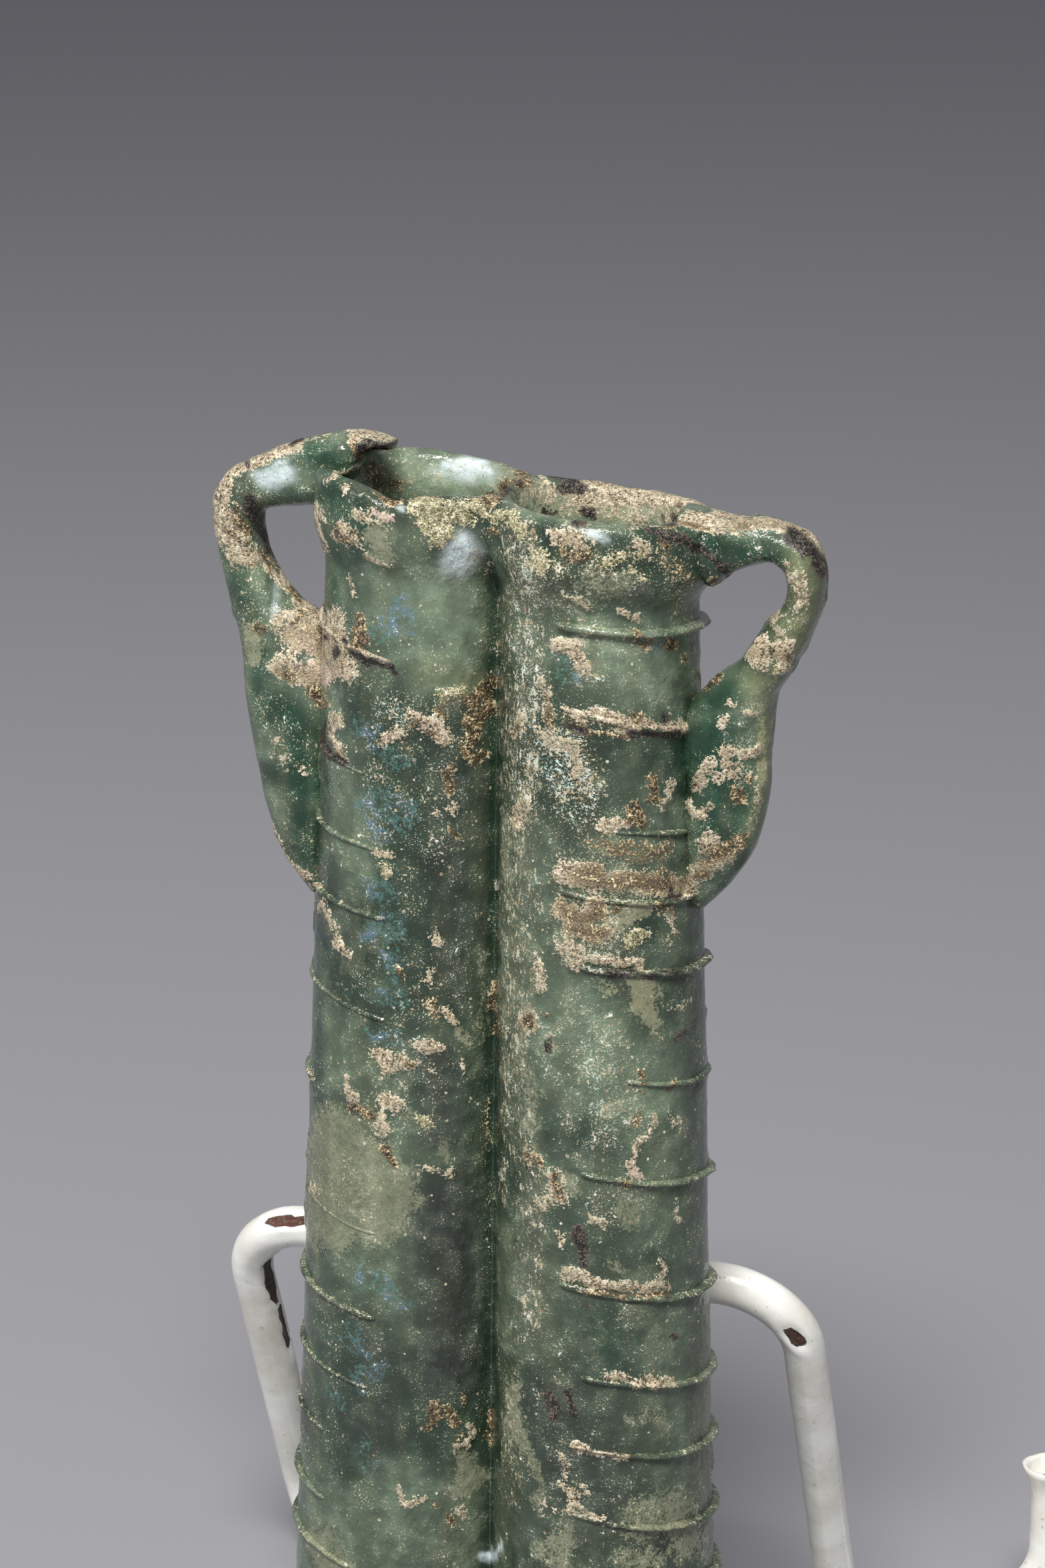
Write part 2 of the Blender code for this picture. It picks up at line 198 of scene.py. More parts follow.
# Handle stations, from the upper end to the tip of the tail: outer edge (out, down), inner edge (out,
# down) and the strap's width at both edges, as shares of the handle's reach, tail and width
LEFT_STATIONS = (
    (-0.46, -0.082, -0.45, -0.056, 0.55, 0.50),
    (-0.30, -0.092, -0.29, -0.050, 0.85, 0.80),
    (-0.12, -0.097, -0.16, 0.010, 1.10, 1.15),
    (0.19, -0.080, 0.12, 0.074, 1.12, 1.20),
    (0.54, -0.042, 0.42, 0.086, 1.05, 1.05),
    (0.86, 0.010, 0.59, 0.096, 1.00, 1.00),
    (1.00, 0.085, 0.64, 0.132, 0.97, 0.97),
    (0.95, 0.195, 0.56, 0.220, 0.97, 0.97),
    (0.83, 0.330, 0.33, 0.305, 0.97, 1.02),
    (0.76, 0.430, 0.10, 0.350, 0.95, 1.10),
    (0.71, 0.545, -0.07, 0.480, 0.85, 1.40),
    (0.62, 0.663, -0.07, 0.642, 0.80, 1.40),
    (0.48, 0.820, -0.07, 0.800, 0.75, 1.35),
    (0.28, 0.938, -0.07, 0.895, 0.70, 1.10),
    (0.04, 1.010, -0.05, 0.968, 0.55, 0.75),
)
RIGHT_STATIONS = (
    (-0.07, 0.015, -0.07, 0.097, 0.95, 1.00),
    (0.085, 0.022, 0.13, 0.195, 1.20, 1.25),
    (0.33, 0.034, 0.315, 0.160, 1.12, 1.10),
    (0.66, 0.039, 0.59, 0.131, 1.05, 1.05),
    (0.90, 0.068, 0.70, 0.141, 1.03, 1.03),
    (1.00, 0.136, 0.74, 0.170, 1.00, 1.00),
    (0.99, 0.216, 0.70, 0.228, 1.00, 1.00),
    (0.89, 0.303, 0.546, 0.279, 1.00, 1.00),
    (0.73, 0.400, 0.37, 0.367, 0.97, 1.00),
    (0.615, 0.466, 0.17, 0.415, 0.95, 1.10),
    (0.585, 0.580, -0.06, 0.519, 0.88, 1.40),
    (0.546, 0.714, -0.07, 0.677, 0.85, 1.40),
    (0.446, 0.835, -0.07, 0.800, 0.80, 1.35),
    (0.246, 0.932, -0.06, 0.883, 0.75, 1.15),
    (0.04, 0.998, -0.05, 0.956, 0.60, 0.80),
)

# Relief of the glass: the blown wall's waves, drawn lines, and lumpy crusts and pits
WAVE_HEIGHT = 0.34
WAVE_SIZE = 13.0
DRAWN_HEIGHT = 0.10
DRAWN_SIZE = 1.1
DRAWN_STRETCH = (0.35, 0.35, 1.6)
LUMP_SIZE = 1.1
CRUST_HEIGHT = (0.06, 0.30)     # everywhere, and more on the lumps
GOLD_HEIGHT = (0.08, 0.26)
PIT_DEPTH = 0.50
BROWN_LEVEL = 0.42
BLACK_LEVEL = 0.60

# Camera and the photograph's frame
PHOTO_WIDTH = 1568
PHOTO_HEIGHT = 2352
LENS = 100.0
SENSOR = 36.0
LOOK_AT = Vector((4.2, -8.4, 107.6)) * MM
DISTANCE = 427.5 * MM
AZIMUTH = radians(19.0)
ELEVATION = radians(15.6)
ROLL = radians(-0.5)

# Floor, light and lamps
FLOOR_SIZE = 4.0            # metres, and so are the lamps' places and sizes
WORLD_STRENGTH = 0.8
LIT_PLACE = Vector((0.0, 0.0, 0.08))
# Lamps: name, place, size, watts and colour
LAMPS = (
    ("key", (0.12, -0.68, 1.02), (0.45, 0.35), 20.0, (1.0, 0.99, 0.96)),
    ("fill", (-0.90, -0.40, 0.50), (0.30, 0.50), 3.0, (1.0, 0.99, 0.97)),
)

# Marks on the glass as the photograph shows them, by kind: crusts, brown and charred pits, gold of small
# bubbles, yellow, blue and grey films, a rose tint, flakes, sparkles tinted as painted glints, painted
# highlights with one speck of pale fluff, and lively crowds of specks.
# Each is a stroke: half-width in the photograph's pixels, strength, and the places that it runs through,
# across and down in the photograph
OUTER_MARKS = {
    "crust": (
        (13, 1.0, 325, 800, 322, 752, 334, 718, 356, 698, 384, 684, 412, 676, 446, 660),
        (19, 1.0, 344, 775, 350, 800, 362, 826), (11, 1.0, 530, 656, 560, 652, 585, 660),
        (12, 0.9, 342, 812, 362, 830, 382, 838), (9, 1.0, 402, 852, 436, 885, 455, 905, 482, 925),
        (6, 0.7, 478, 756, 476, 800, 484, 822), (15, 1.0, 478, 915, 500, 930, 515, 950),
        (30, 1.0, 438, 942, 470, 952, 500, 968), (20, 0.9, 425, 1000, 455, 1012, 480, 1010, 518, 1000),
        (8, 0.9, 503, 1078, 506, 1110, 511, 1136), (8, 0.8, 518, 1012, 522, 1024),
        (5, 0.8, 410, 1110, 424, 1134, 440, 1154, 456, 1163),
        (6, 0.9, 400, 1240, 420, 1275, 446, 1300, 474, 1330), (9, 0.7, 482, 1358, 500, 1388, 504, 1412),
        (8, 0.9, 536, 772, 555, 780), (8, 1.0, 566, 772, 582, 780),
        (5, 0.8, 486, 724, 505, 712, 532, 704, 546, 707), (5, 0.7, 510, 742, 518, 726),
        (15, 1.0, 516, 798, 532, 812), (5, 0.8, 545, 839, 582, 852), (4, 0.6, 483, 777, 530, 788, 580, 796),
        (6, 0.7, 520, 868, 532, 898), (8, 0.8, 578, 1114, 600, 1096),
        (12, 1.0, 624, 1074, 648, 1090, 664, 1106), (6, 0.8, 650, 1219, 655, 1220),
        (9, 0.7, 680, 1204, 684, 1216), (9, 0.9, 566, 1281, 586, 1285), (6, 0.8, 648, 1402, 655, 1408),
        (5, 0.9, 503, 1410, 515, 1422, 524, 1431), (6, 0.8, 645, 1454, 645, 1470),
        (8, 0.8, 668, 1514, 678, 1530), (7, 1.0, 632, 1570, 656, 1570), (12, 1.0, 568, 1584, 584, 1602),
        (9, 0.9, 598, 1592, 616, 1597), (7, 0.9, 522, 1624, 528, 1650), (11, 0.9, 574, 1650, 592, 1655),
        (10, 0.8, 568, 1676, 576, 1696), (5, 0.7, 645, 1606, 649, 1610), (6, 0.7, 698, 1592, 700, 1604),
        (6, 0.6, 632, 1758, 655, 1757, 673, 1760), (6, 0.8, 466, 1600, 468, 1610),
        (6, 0.7, 470, 1776, 482, 1786), (5, 0.9, 676, 2178, 698, 2170, 710, 2150, 702, 2138),
        (7, 0.9, 598, 2238, 608, 2254, 628, 2244), (7, 0.7, 688, 2268, 698, 2278),
        (14, 0.9, 836, 804, 862, 800, 872, 814), (9, 0.9, 955, 812, 965, 829),
        (5, 0.8, 850, 896, 876, 905, 890, 908), (6, 0.9, 932, 916, 958, 920),
        (15, 0.9, 834, 970, 862, 976, 872, 1000), (8, 0.8, 818, 1026, 822, 1062, 828, 1086),
        (9, 0.8, 784, 1072, 774, 1094), (7, 1.0, 852, 1066, 890, 1074, 930, 1080, 980, 1084, 1020, 1092),
        (8, 0.8, 922, 1092, 938, 1096), (12, 0.7, 816, 1096, 830, 1112, 862, 1126, 866, 1160),
        (9, 0.9, 790, 1204, 778, 1216, 776, 1242), (9, 0.6, 1008, 1178, 998, 1198, 992, 1214),
        (8, 1.0, 898, 1240, 934, 1236), (17, 0.55, 900, 1270, 932, 1276, 962, 1282, 994, 1272),
        (18, 0.95, 848, 1306, 890, 1318, 930, 1322, 972, 1328, 1012, 1326),
        (17, 0.95, 842, 1364, 872, 1374, 892, 1362), (14, 0.9, 856, 1394, 886, 1402, 912, 1398),
        (9, 0.55, 1000, 1364, 1010, 1390, 1004, 1410), (13, 0.8, 852, 1422, 868, 1444),
        (8, 1.0, 880, 1438, 930, 1442, 966, 1446), (9, 0.7, 802, 1450, 812, 1476),
        (12, 0.7, 786, 1526, 795, 1542), (9, 0.6, 826, 1558, 832, 1574), (7, 0.45, 959, 1612, 959, 1638),
        (7, 0.6, 1018, 1510, 1034, 1506), (7, 0.8, 988, 1678, 976, 1700, 960, 1716, 946, 1742),
        (11, 0.5, 1010, 1678, 1026, 1692), (10, 1.0, 944, 1744, 950, 1760), (10, 0.6, 800, 1732, 808, 1748),
        (14, 0.7, 832, 1762, 834, 1798, 818, 1806), (5, 0.7, 1012, 1798, 1015, 1828),
        (7, 0.8, 888, 1834, 904, 1838), (7, 0.8, 843, 1850, 848, 1868),
        (8, 1.0, 846, 1912, 880, 1919, 916, 1924, 958, 1930, 998, 1930), (6, 0.7, 992, 1886, 994, 1926),
        (8, 1.0, 908, 2068, 942, 2070), (8, 1.0, 962, 2074, 1004, 2070), (6, 0.6, 814, 2250, 818, 2274),
        (6, 1.0, 858, 2170, 900, 2178, 946, 2182), (5, 0.8, 840, 2184, 852, 2206),
        (10, 0.85, 845, 2224, 858, 2246, 852, 2266), (6, 0.7, 874, 2232, 880, 2240),
        (5, 0.8, 836, 2266, 880, 2272, 906, 2277), (10, 1.0, 1072, 766, 1092, 757, 1102, 768),
        (12, 1.0, 1030, 786, 1090, 783, 1150, 785, 1200, 791, 1226, 806),
        (7, 0.9, 1228, 806, 1240, 826, 1245, 852), (8, 0.7, 1184, 846, 1188, 870),
        (10, 0.75, 1200, 866, 1208, 886, 1204, 908), (5, 0.8, 1168, 902, 1160, 930, 1172, 950),
        (11, 1.0, 1136, 966, 1150, 962), (13, 1.0, 1128, 978, 1140, 996),
        (12, 1.0, 1162, 976, 1180, 966, 1176, 990), (7, 0.6, 1092, 1058, 1104, 1054),
        (10, 1.0, 1092, 1124, 1094, 1144, 1104, 1158), (7, 1.0, 1112, 1132, 1128, 1130, 1142, 1122),
        (10, 1.0, 1070, 1138, 1056, 1154, 1046, 1172), (7, 0.8, 1076, 1166, 1070, 1176),
        (7, 0.9, 1090, 1078, 1084, 1090), (7, 0.8, 1120, 1064, 1126, 1070),
        (8, 1.0, 1034, 1200, 1042, 1222), (7, 0.9, 1052, 1228, 1068, 1208),
        (14, 0.35, 1103, 1190, 1106, 1202), (17, 0.95, 1064, 1262, 1078, 1286, 1050, 1308, 1034, 1324),
        (6, 0.6, 1136, 1170, 1130, 1210, 1120, 1240),
    ),
    "brown": (
        (7, 0.9, 528, 664, 538, 684), (7, 1.0, 352, 760, 362, 778, 372, 795), (6, 1.0, 353, 794, 354, 802),
        (8, 0.9, 395, 830, 410, 848), (7, 0.9, 440, 884, 455, 900), (26, 0.4, 446, 946, 480, 965, 500, 990),
        (15, 0.44, 432, 1002, 470, 1016), (6, 1.0, 436, 932, 449, 922), (6, 0.9, 386, 934, 388, 944),
        (8, 0.8, 425, 1010, 436, 1018), (10, 1.0, 468, 1034, 482, 1054),
        (9, 1.0, 541, 928, 543, 950, 537, 968), (9, 1.0, 582, 738, 604, 742, 588, 756),
        (9, 0.9, 712, 742, 745, 727, 790, 722), (7, 0.8, 735, 795, 752, 800),
        (3, 0.8, 504, 789, 528, 791, 546, 808, 541, 823, 515, 816, 504, 789), (16, 0.4, 848, 806, 872, 818),
        (13, 0.42, 712, 836, 728, 856), (8, 1.0, 644, 1098, 650, 1102), (6, 0.9, 614, 1084, 620, 1078),
        (5, 0.9, 656, 1064, 662, 1074), (13, 0.95, 736, 1018, 718, 1036, 702, 1052),
        (12, 1.0, 732, 1048, 736, 1068, 714, 1076), (10, 1.0, 702, 1080, 716, 1096, 704, 1106),
        (8, 1.0, 688, 1124, 706, 1131, 725, 1130), (5, 0.9, 708, 1148, 714, 1150),
        (8, 0.8, 668, 1160, 672, 1182), (6, 0.8, 680, 1246, 691, 1262), (6, 0.9, 600, 1458, 604, 1463),
        (10, 0.8, 643, 1508, 650, 1516), (5, 0.9, 608, 1597, 616, 1599),
        (7, 0.9, 530, 1660, 546, 1664, 557, 1672), (6, 1.0, 580, 1722, 590, 1741),
        (7, 1.0, 637, 2147, 645, 2126, 657, 2112), (7, 1.0, 668, 2118, 682, 2134),
        (5, 0.9, 685, 2168, 697, 2152), (5, 0.9, 696, 2098, 699, 2106), (6, 0.9, 646, 2254, 652, 2262),
        (6, 0.9, 672, 2276, 675, 2284), (5, 0.9, 743, 1474, 742, 1512, 742, 1552),
        (6, 0.9, 732, 2114, 735, 2140, 738, 2158), (4, 0.6, 733, 1650, 734, 1716),
        (9, 1.0, 845, 833, 866, 839, 880, 832), (17, 0.45, 992, 836, 1024, 862),
        (8, 1.0, 984, 802, 996, 816), (5, 0.9, 1074, 868, 1070, 878), (12, 0.65, 946, 946, 966, 964),
        (7, 1.0, 1007, 976, 1013, 968), (5, 0.8, 1026, 984, 1030, 990), (6, 0.8, 820, 1040, 826, 1078),
        (5, 0.8, 778, 1084, 772, 1092), (4, 0.9, 870, 1092, 920, 1096, 975, 1100),
        (7, 1.0, 856, 1084, 884, 1088), (6, 0.9, 950, 1070, 956, 1076),
        (10, 1.0, 944, 1226, 952, 1210, 966, 1234), (7, 0.9, 978, 1172, 976, 1196, 986, 1204),
        (17, 0.6, 900, 1268, 932, 1276, 962, 1282, 994, 1272),
        (18, 0.62, 872, 1312, 930, 1322, 972, 1326, 1008, 1326), (9, 0.7, 990, 1300, 1000, 1320),
        (17, 0.62, 846, 1362, 872, 1376, 892, 1368), (14, 0.6, 858, 1394, 886, 1402, 908, 1398),
        (8, 0.7, 918, 1368, 925, 1362), (8, 0.6, 985, 1358, 1002, 1364), (7, 1.0, 789, 1530, 794, 1538),
        (5, 0.9, 814, 1522, 820, 1525), (4, 1.0, 959, 1612, 959, 1638), (5, 0.9, 1002, 1634, 1009, 1629),
        (6, 0.8, 951, 1682, 964, 1667), (6, 0.8, 934, 1774, 940, 1779), (7, 1.0, 803, 1736, 807, 1745),
        (6, 1.0, 835, 1764, 836, 1798), (4, 0.9, 880, 1933, 920, 1941, 960, 1946, 1000, 1941),
        (5, 0.7, 1000, 790, 1030, 788, 1062, 793), (4, 0.6, 1090, 790, 1130, 791),
        (6, 0.8, 1245, 866, 1240, 896), (6, 0.7, 1176, 976, 1184, 984), (12, 0.42, 1134, 980, 1176, 978),
        (10, 0.42, 1092, 1128, 1104, 1156), (12, 0.36, 1100, 786, 1160, 788, 1200, 794),
        (8, 1.0, 1053, 1012, 1062, 1028, 1080, 1014), (10, 1.0, 1103, 1190, 1106, 1202),
        (5, 0.9, 1124, 1168, 1127, 1171), (13, 0.7, 1058, 1290, 1082, 1276, 1104, 1268, 1118, 1256),
        (8, 0.7, 1046, 1318, 1060, 1312),
    ),
    "black": (
        (6, 1.0, 538, 672, 560, 669, 580, 673, 594, 668), (5, 0.9, 371, 692, 374, 694),
        (6, 0.9, 438, 662, 448, 657), (12, 1.0, 378, 760, 388, 776), (8, 1.0, 385, 785, 398, 802, 407, 826),
        (6, 1.0, 502, 976, 505, 984), (5, 1.0, 512, 960, 518, 966), (5, 0.9, 489, 955, 487, 961),
        (5, 0.8, 455, 990, 448, 1000), (5, 1.0, 526, 978, 545, 990, 570, 1000, 592, 1010),
        (5, 1.0, 490, 1085, 488, 1110, 495, 1132, 513, 1146), (4, 0.9, 484, 904, 492, 912),
        (6, 1.0, 975, 797, 1010, 812, 1042, 823, 1064, 836, 1086, 852), (7, 0.9, 1078, 846, 1090, 858),
        (6, 1.0, 858, 1088, 882, 1090), (6, 0.9, 992, 1076, 998, 1080),
        (5, 0.9, 945, 1096, 980, 1098, 1014, 1097), (7, 1.0, 1010, 1330, 1013, 1340),
        (4, 0.8, 911, 1458, 960, 1462, 1014, 1461), (7, 1.0, 911, 1471, 922, 1462),
        (6, 1.0, 828, 1560, 827, 1571), (6, 0.7, 1020, 1560, 1026, 1548),
        (6, 0.9, 862, 1842, 874, 1862, 876, 1904), (9, 1.0, 824, 2094, 834, 2112, 830, 2126),
        (7, 0.9, 856, 2086, 861, 2116), (5, 0.8, 885, 1954), (5, 0.8, 883, 1976), (5, 0.8, 874, 1998),
        (5, 0.8, 1010, 2007), (5, 0.8, 1020, 2003), (5, 0.8, 935, 2014), (5, 0.8, 1001, 1948),
        (5, 0.8, 843, 1944), (12, 1.0, 1188, 804, 1210, 820, 1226, 840, 1235, 853),
        (5, 0.9, 1058, 1020, 1066, 1030),
    ),
    "gold": (
        (6, 0.6, 478, 656, 500, 654), (17, 1.0, 630, 755, 660, 764, 696, 770),
        (13, 1.0, 640, 782, 668, 800, 652, 812), (12, 0.8, 716, 760, 752, 776),
        (9, 0.9, 660, 1048, 672, 1042, 690, 1036), (7, 1.0, 572, 1302, 575, 1308),
        (8, 0.9, 634, 1678, 640, 1686), (14, 0.7, 800, 830, 815, 850), (12, 0.8, 780, 800, 770, 770),
        (11, 0.8, 904, 850, 930, 838, 962, 836), (7, 0.7, 940, 862, 975, 868),
        (10, 0.9, 943, 1410, 966, 1404), (7, 0.8, 1166, 1002, 1186, 1000),
    ),
    "yellow": (
        (13, 0.9, 374, 942, 380, 985), (10, 0.8, 688, 1548, 702, 1562),
        (13, 1.0, 924, 1384, 946, 1370, 966, 1364), (17, 1.0, 952, 1478, 972, 1482, 962, 1510, 972, 1528),
        (10, 0.5, 900, 1480, 922, 1486), (9, 0.9, 904, 1671, 926, 1664),
        (8, 0.7, 1140, 1060, 1146, 1110, 1146, 1160, 1138, 1200, 1124, 1240),
    ),
    "blue": (
        (17, 0.9, 604, 905, 590, 932, 574, 956), (12, 0.7, 618, 936, 622, 950),
        (20, 0.7, 545, 1092, 572, 1126, 600, 1142), (20, 1.0, 558, 1202, 594, 1208, 606, 1228),
        (14, 0.9, 556, 1240, 574, 1258), (18, 0.9, 562, 1326, 582, 1346),
        (15, 0.8, 558, 1396, 592, 1378, 590, 1412), (11, 1.0, 583, 1430, 590, 1447, 584, 1468),
        (13, 0.9, 556, 1490, 578, 1500, 600, 1502), (17, 0.6, 556, 1546, 600, 1562),
        (19, 0.7, 542, 1920, 580, 1932, 602, 1950), (17, 0.7, 524, 2000, 546, 2032, 560, 2052, 538, 2072),
        (12, 0.6, 496, 2090, 510, 2104), (10, 0.6, 548, 2160, 552, 2212), (16, 0.8, 838, 986, 852, 1008),
        (15, 0.6, 968, 956, 986, 984), (14, 0.6, 816, 1140, 836, 1180, 866, 1190),
    ),
    "haze": (
        (15, 0.9, 562, 806, 576, 828), (12, 0.8, 668, 1724, 672, 1734),
        (46, 1.0, 504, 1706, 500, 1790, 500, 1830), (40, 1.0, 556, 1750, 590, 1790, 566, 1826),
        (17, 0.8, 700, 2190, 692, 2235, 715, 2215), (24, 0.8, 480, 2310, 500, 2345),
        (9, 0.45, 722, 1430, 728, 1500, 722, 1560), (20, 0.6, 880, 870, 930, 880),
        (16, 0.55, 782, 1560, 790, 1620, 792, 1690), (14, 0.7, 848, 1770, 862, 1788),
        (18, 0.7, 938, 1808, 944, 1832), (12, 0.6, 920, 1892, 936, 1900),
        (15, 0.7, 770, 2086, 774, 2132, 786, 2166), (11, 0.7, 800, 2186, 808, 2226, 812, 2268),
        (32, 0.7, 965, 2282, 1010, 2262, 1030, 2310), (24, 0.6, 930, 2340, 980, 2345),
        (21, 0.65, 818, 2325, 850, 2302, 842, 2345), (13, 0.5, 950, 2130, 985, 2120, 1000, 2150),
    ),
    "rose": (
        (18, 0.7, 456, 978, 472, 996, 480, 1012), (8, 1.0, 566, 772, 582, 780),
        (10, 0.8, 948, 1756, 952, 1762), (9, 0.7, 814, 2250, 818, 2274),
    ),
    "flake": (
        (7, 1.0, 759, 900, 758, 1200, 757, 1500, 755, 1800),
        (26, 0.8, 784, 800, 784, 1000, 782, 1250, 780, 1480),
        (20, 0.6, 776, 1500, 780, 1700, 800, 1850, 790, 2000), (14, 0.6, 764, 2100, 764, 2250),
    ),
    # Sparkle marks: crowded flakes tinted pale teal as painted glints
    "sparkle": (
        (15, 0.9, 578, 1050, 602, 1076), (18, 0.5, 780, 830, 790, 1000, 785, 1200),
        (30, 1.0, 822, 1122, 850, 1150, 862, 1205), (48, 0.6, 862, 1570, 905, 1610, 900, 1668),
    ),
    # These marks are painted highlights where light glints on the glass, and one speck of pale fluff low by
    # the seam
    "painted_highlight_and_fluff": (
        (15, 0.75, 388, 716, 410, 712, 428, 706), (8, 0.5, 412, 882, 414, 928),
        (6, 0.7, 600, 764, 606, 766), (24, 1.0, 694, 822, 688, 840),
        (6, 1.0, 722, 2334, 742, 2335, 755, 2314), (8, 0.9, 888, 801, 912, 809),
    ),
    "lively": (
        (18, 0.9, 370, 740, 420, 745, 470, 750), (22, 0.9, 370, 880, 385, 940),
        (34, 0.8, 420, 1070, 440, 1130), (60, 0.7, 640, 1040, 600, 1150, 640, 1260),
        (50, 0.6, 660, 1450, 600, 1560, 600, 1660), (30, 1.0, 840, 850, 920, 850, 1010, 870),
        (60, 0.9, 840, 900, 870, 1000, 900, 1040), (60, 1.0, 850, 1150, 900, 1330, 900, 1420),
        (50, 0.7, 900, 1560, 930, 1700, 900, 1830), (40, 0.5, 820, 2020, 860, 2220),
        (30, 0.9, 1120, 1080, 1110, 1150), (22, 1.0, 1130, 830, 1190, 860, 1200, 930),
    ),
}
# Marks on the inside walls, seen through the mouths
MOUTH_MARKS = {
    "crust": (
        (21, 1.0, 870, 722, 920, 728, 970, 738, 1030, 750, 1066, 764),
        (14, 1.0, 862, 758, 900, 750, 950, 750), (16, 0.55, 790, 740, 830, 752, 880, 768, 940, 772),
        (12, 0.8, 950, 776, 1000, 778, 1040, 772), (9, 0.8, 812, 722, 836, 730),
    ),
    "brown": (
        (12, 1.0, 548, 694, 562, 708, 572, 722), (5, 0.8, 590, 722, 615, 732, 652, 736),
        (9, 1.0, 734, 750, 769, 722, 802, 698),
    ),
    "black": (
        (4, 0.8, 746, 746, 778, 722), (8, 1.0, 844, 730, 862, 722, 870, 730), (5, 0.9, 820, 708, 858, 712),
        (5, 0.9, 798, 752, 816, 760, 836, 767), (6, 1.0, 868, 780, 890, 776, 914, 782),
        (6, 0.9, 992, 782, 1012, 780), (3, 0.7, 942, 756, 989, 764, 1025, 763),
    ),
    "haze": (
        (12, 0.9, 736, 704, 766, 708), (14, 0.5, 610, 706, 650, 712),
        (20, 1.0, 796, 738, 830, 752, 880, 764), (18, 1.0, 900, 764, 960, 768, 1032, 768),
    ),
    # These marks are painted highlights on the far wall inside the left mouth
    "painted_highlight_and_fluff": (
        (12, 1.0, 672, 700, 700, 702, 726, 702), (14, 0.4, 650, 706, 740, 708),
    ),
    "lively": (
        (30, 0.9, 600, 700, 700, 712),
    ),
}
# Soft changes of tone: painted shade (shade) and painted light (glow), and the glass's own emerald, clear
# grey and olive
TONE_MARKS = {
    # Painted shade: beside the seam's crease, at the right tube's edge, and darker towards the bottom on the
    # right
    "shade": (
        (9, 0.4, 738, 900, 733, 1400, 732, 1900, 732, 2340), (22, 0.6, 868, 1112, 880, 1120),
        (14, 0.6, 876, 1180, 880, 1220), (30, 0.5, 650, 1300, 660, 1380),
        (16, 0.5, 1044, 1500, 1044, 1800, 1044, 2300), (90, 0.6, 900, 1960, 900, 2060),
        (80, 0.65, 920, 2140, 930, 2320),
    ),
    # Painted light: lighter, milkier glass standing in for light on and through the walls, in the mouths and
    # round a highlight
    "glow": (
        (24, 0.9, 620, 704, 690, 712, 740, 716), (26, 1.0, 790, 742, 850, 755, 930, 766),
        (14, 0.6, 376, 856, 392, 910), (13, 0.5, 408, 1190, 424, 1250), (10, 0.5, 470, 1170, 474, 1220),
        (40, 0.6, 660, 880, 690, 940, 660, 990), (26, 0.6, 690, 1000, 640, 1020),
        (34, 0.5, 520, 1210, 540, 1300), (50, 0.6, 900, 960, 940, 1020), (60, 0.6, 880, 1560, 960, 1640),
    ),
    "deep": (
        (26, 0.8, 500, 740, 540, 790, 510, 830), (12, 0.7, 496, 860, 498, 930),
        (22, 0.8, 470, 680, 510, 700), (14, 0.5, 400, 740, 460, 752),
        (24, 1.0, 410, 1060, 450, 1090, 458, 1180), (16, 1.0, 458, 1230, 460, 1280),
        (14, 0.7, 388, 980, 396, 1080), (10, 0.8, 474, 1500, 476, 1640), (18, 0.5, 356, 850, 372, 930),
        (20, 0.9, 1050, 812, 1110, 832, 1160, 842), (18, 0.5, 1074, 850, 1066, 900),
        (36, 1.0, 1070, 1110, 1090, 1190, 1080, 1240), (20, 0.8, 1090, 1040, 1050, 1060),
        (12, 0.8, 1120, 1290, 1090, 1330), (12, 0.8, 1030, 1110, 1034, 1210),
        (30, 0.35, 905, 2000, 920, 2040),
    ),
    "clear": (
        (34, 0.5, 690, 1160, 700, 1340, 690, 1480), (26, 0.8, 655, 1600, 660, 1700),
        (52, 1.0, 672, 1800, 670, 1940, 672, 2040), (40, 0.5, 560, 2000, 560, 2150),
        (60, 0.5, 860, 2120, 880, 2240),
    ),
    "olive": (
        (30, 0.8, 1196, 840, 1216, 920, 1190, 960), (24, 0.7, 1130, 1030, 1150, 1010),
        (12, 0.8, 1146, 1060, 1146, 1160, 1120, 1250), (20, 0.5, 640, 1010, 700, 1020),
    ),
}

# Stains by chance, most of them where the photo doesn't look: kind, size, threshold, strength, seed
CHANCES = (
    ("crust", 4.6, 0.62, 0.9, 21), ("brown", 3.6, 0.68, 0.9, 22), ("blue", 8.0, 0.56, 0.6, 23),
    ("haze", 13.0, 0.60, 0.65, 24), ("flake", 12.0, 0.50, 0.6, 25), ("gold", 5.0, 0.68, 0.8, 26),
    ("lively", 13.0, 0.42, 0.9, 27), ("yellow", 6.0, 0.68, 0.6, 28), ("rose", 6.0, 0.62, 0.2, 29),
)
CHANCE_SEEN = 0.2           # share of them that is left where the photo looks
CHANCE_EDGE = 0.10
EDGE_SIZE = 1.5
STRAY = 26.0                # pixels that a mark's outline wanders
STRAY_SIZE = 1.7
MARK_FADE = 0.80
TONE_FADE = 0.9
SEEN_FROM, SEEN_FULLY = -0.1, 0.2   # how much a surface faces the camera
# How far each tone opens the glass to light
TONE_OPENS = (("clear", 0.25), ("deep", 0.20), ("glow", -0.22), ("olive", -0.20))
OPENNESS = 0.56
INSIDE_OPENS = 0.25
INSIDE_STAINS_FADE = 0.7
# Depths below the rims where the insides turn clear, stop being dark, and lose their stains
INSIDE_CLEAR = (3.0, 9.0)
INSIDE_DARK = (3.0, 7.0)
INSIDE_BARE = (8.0, 20.0)
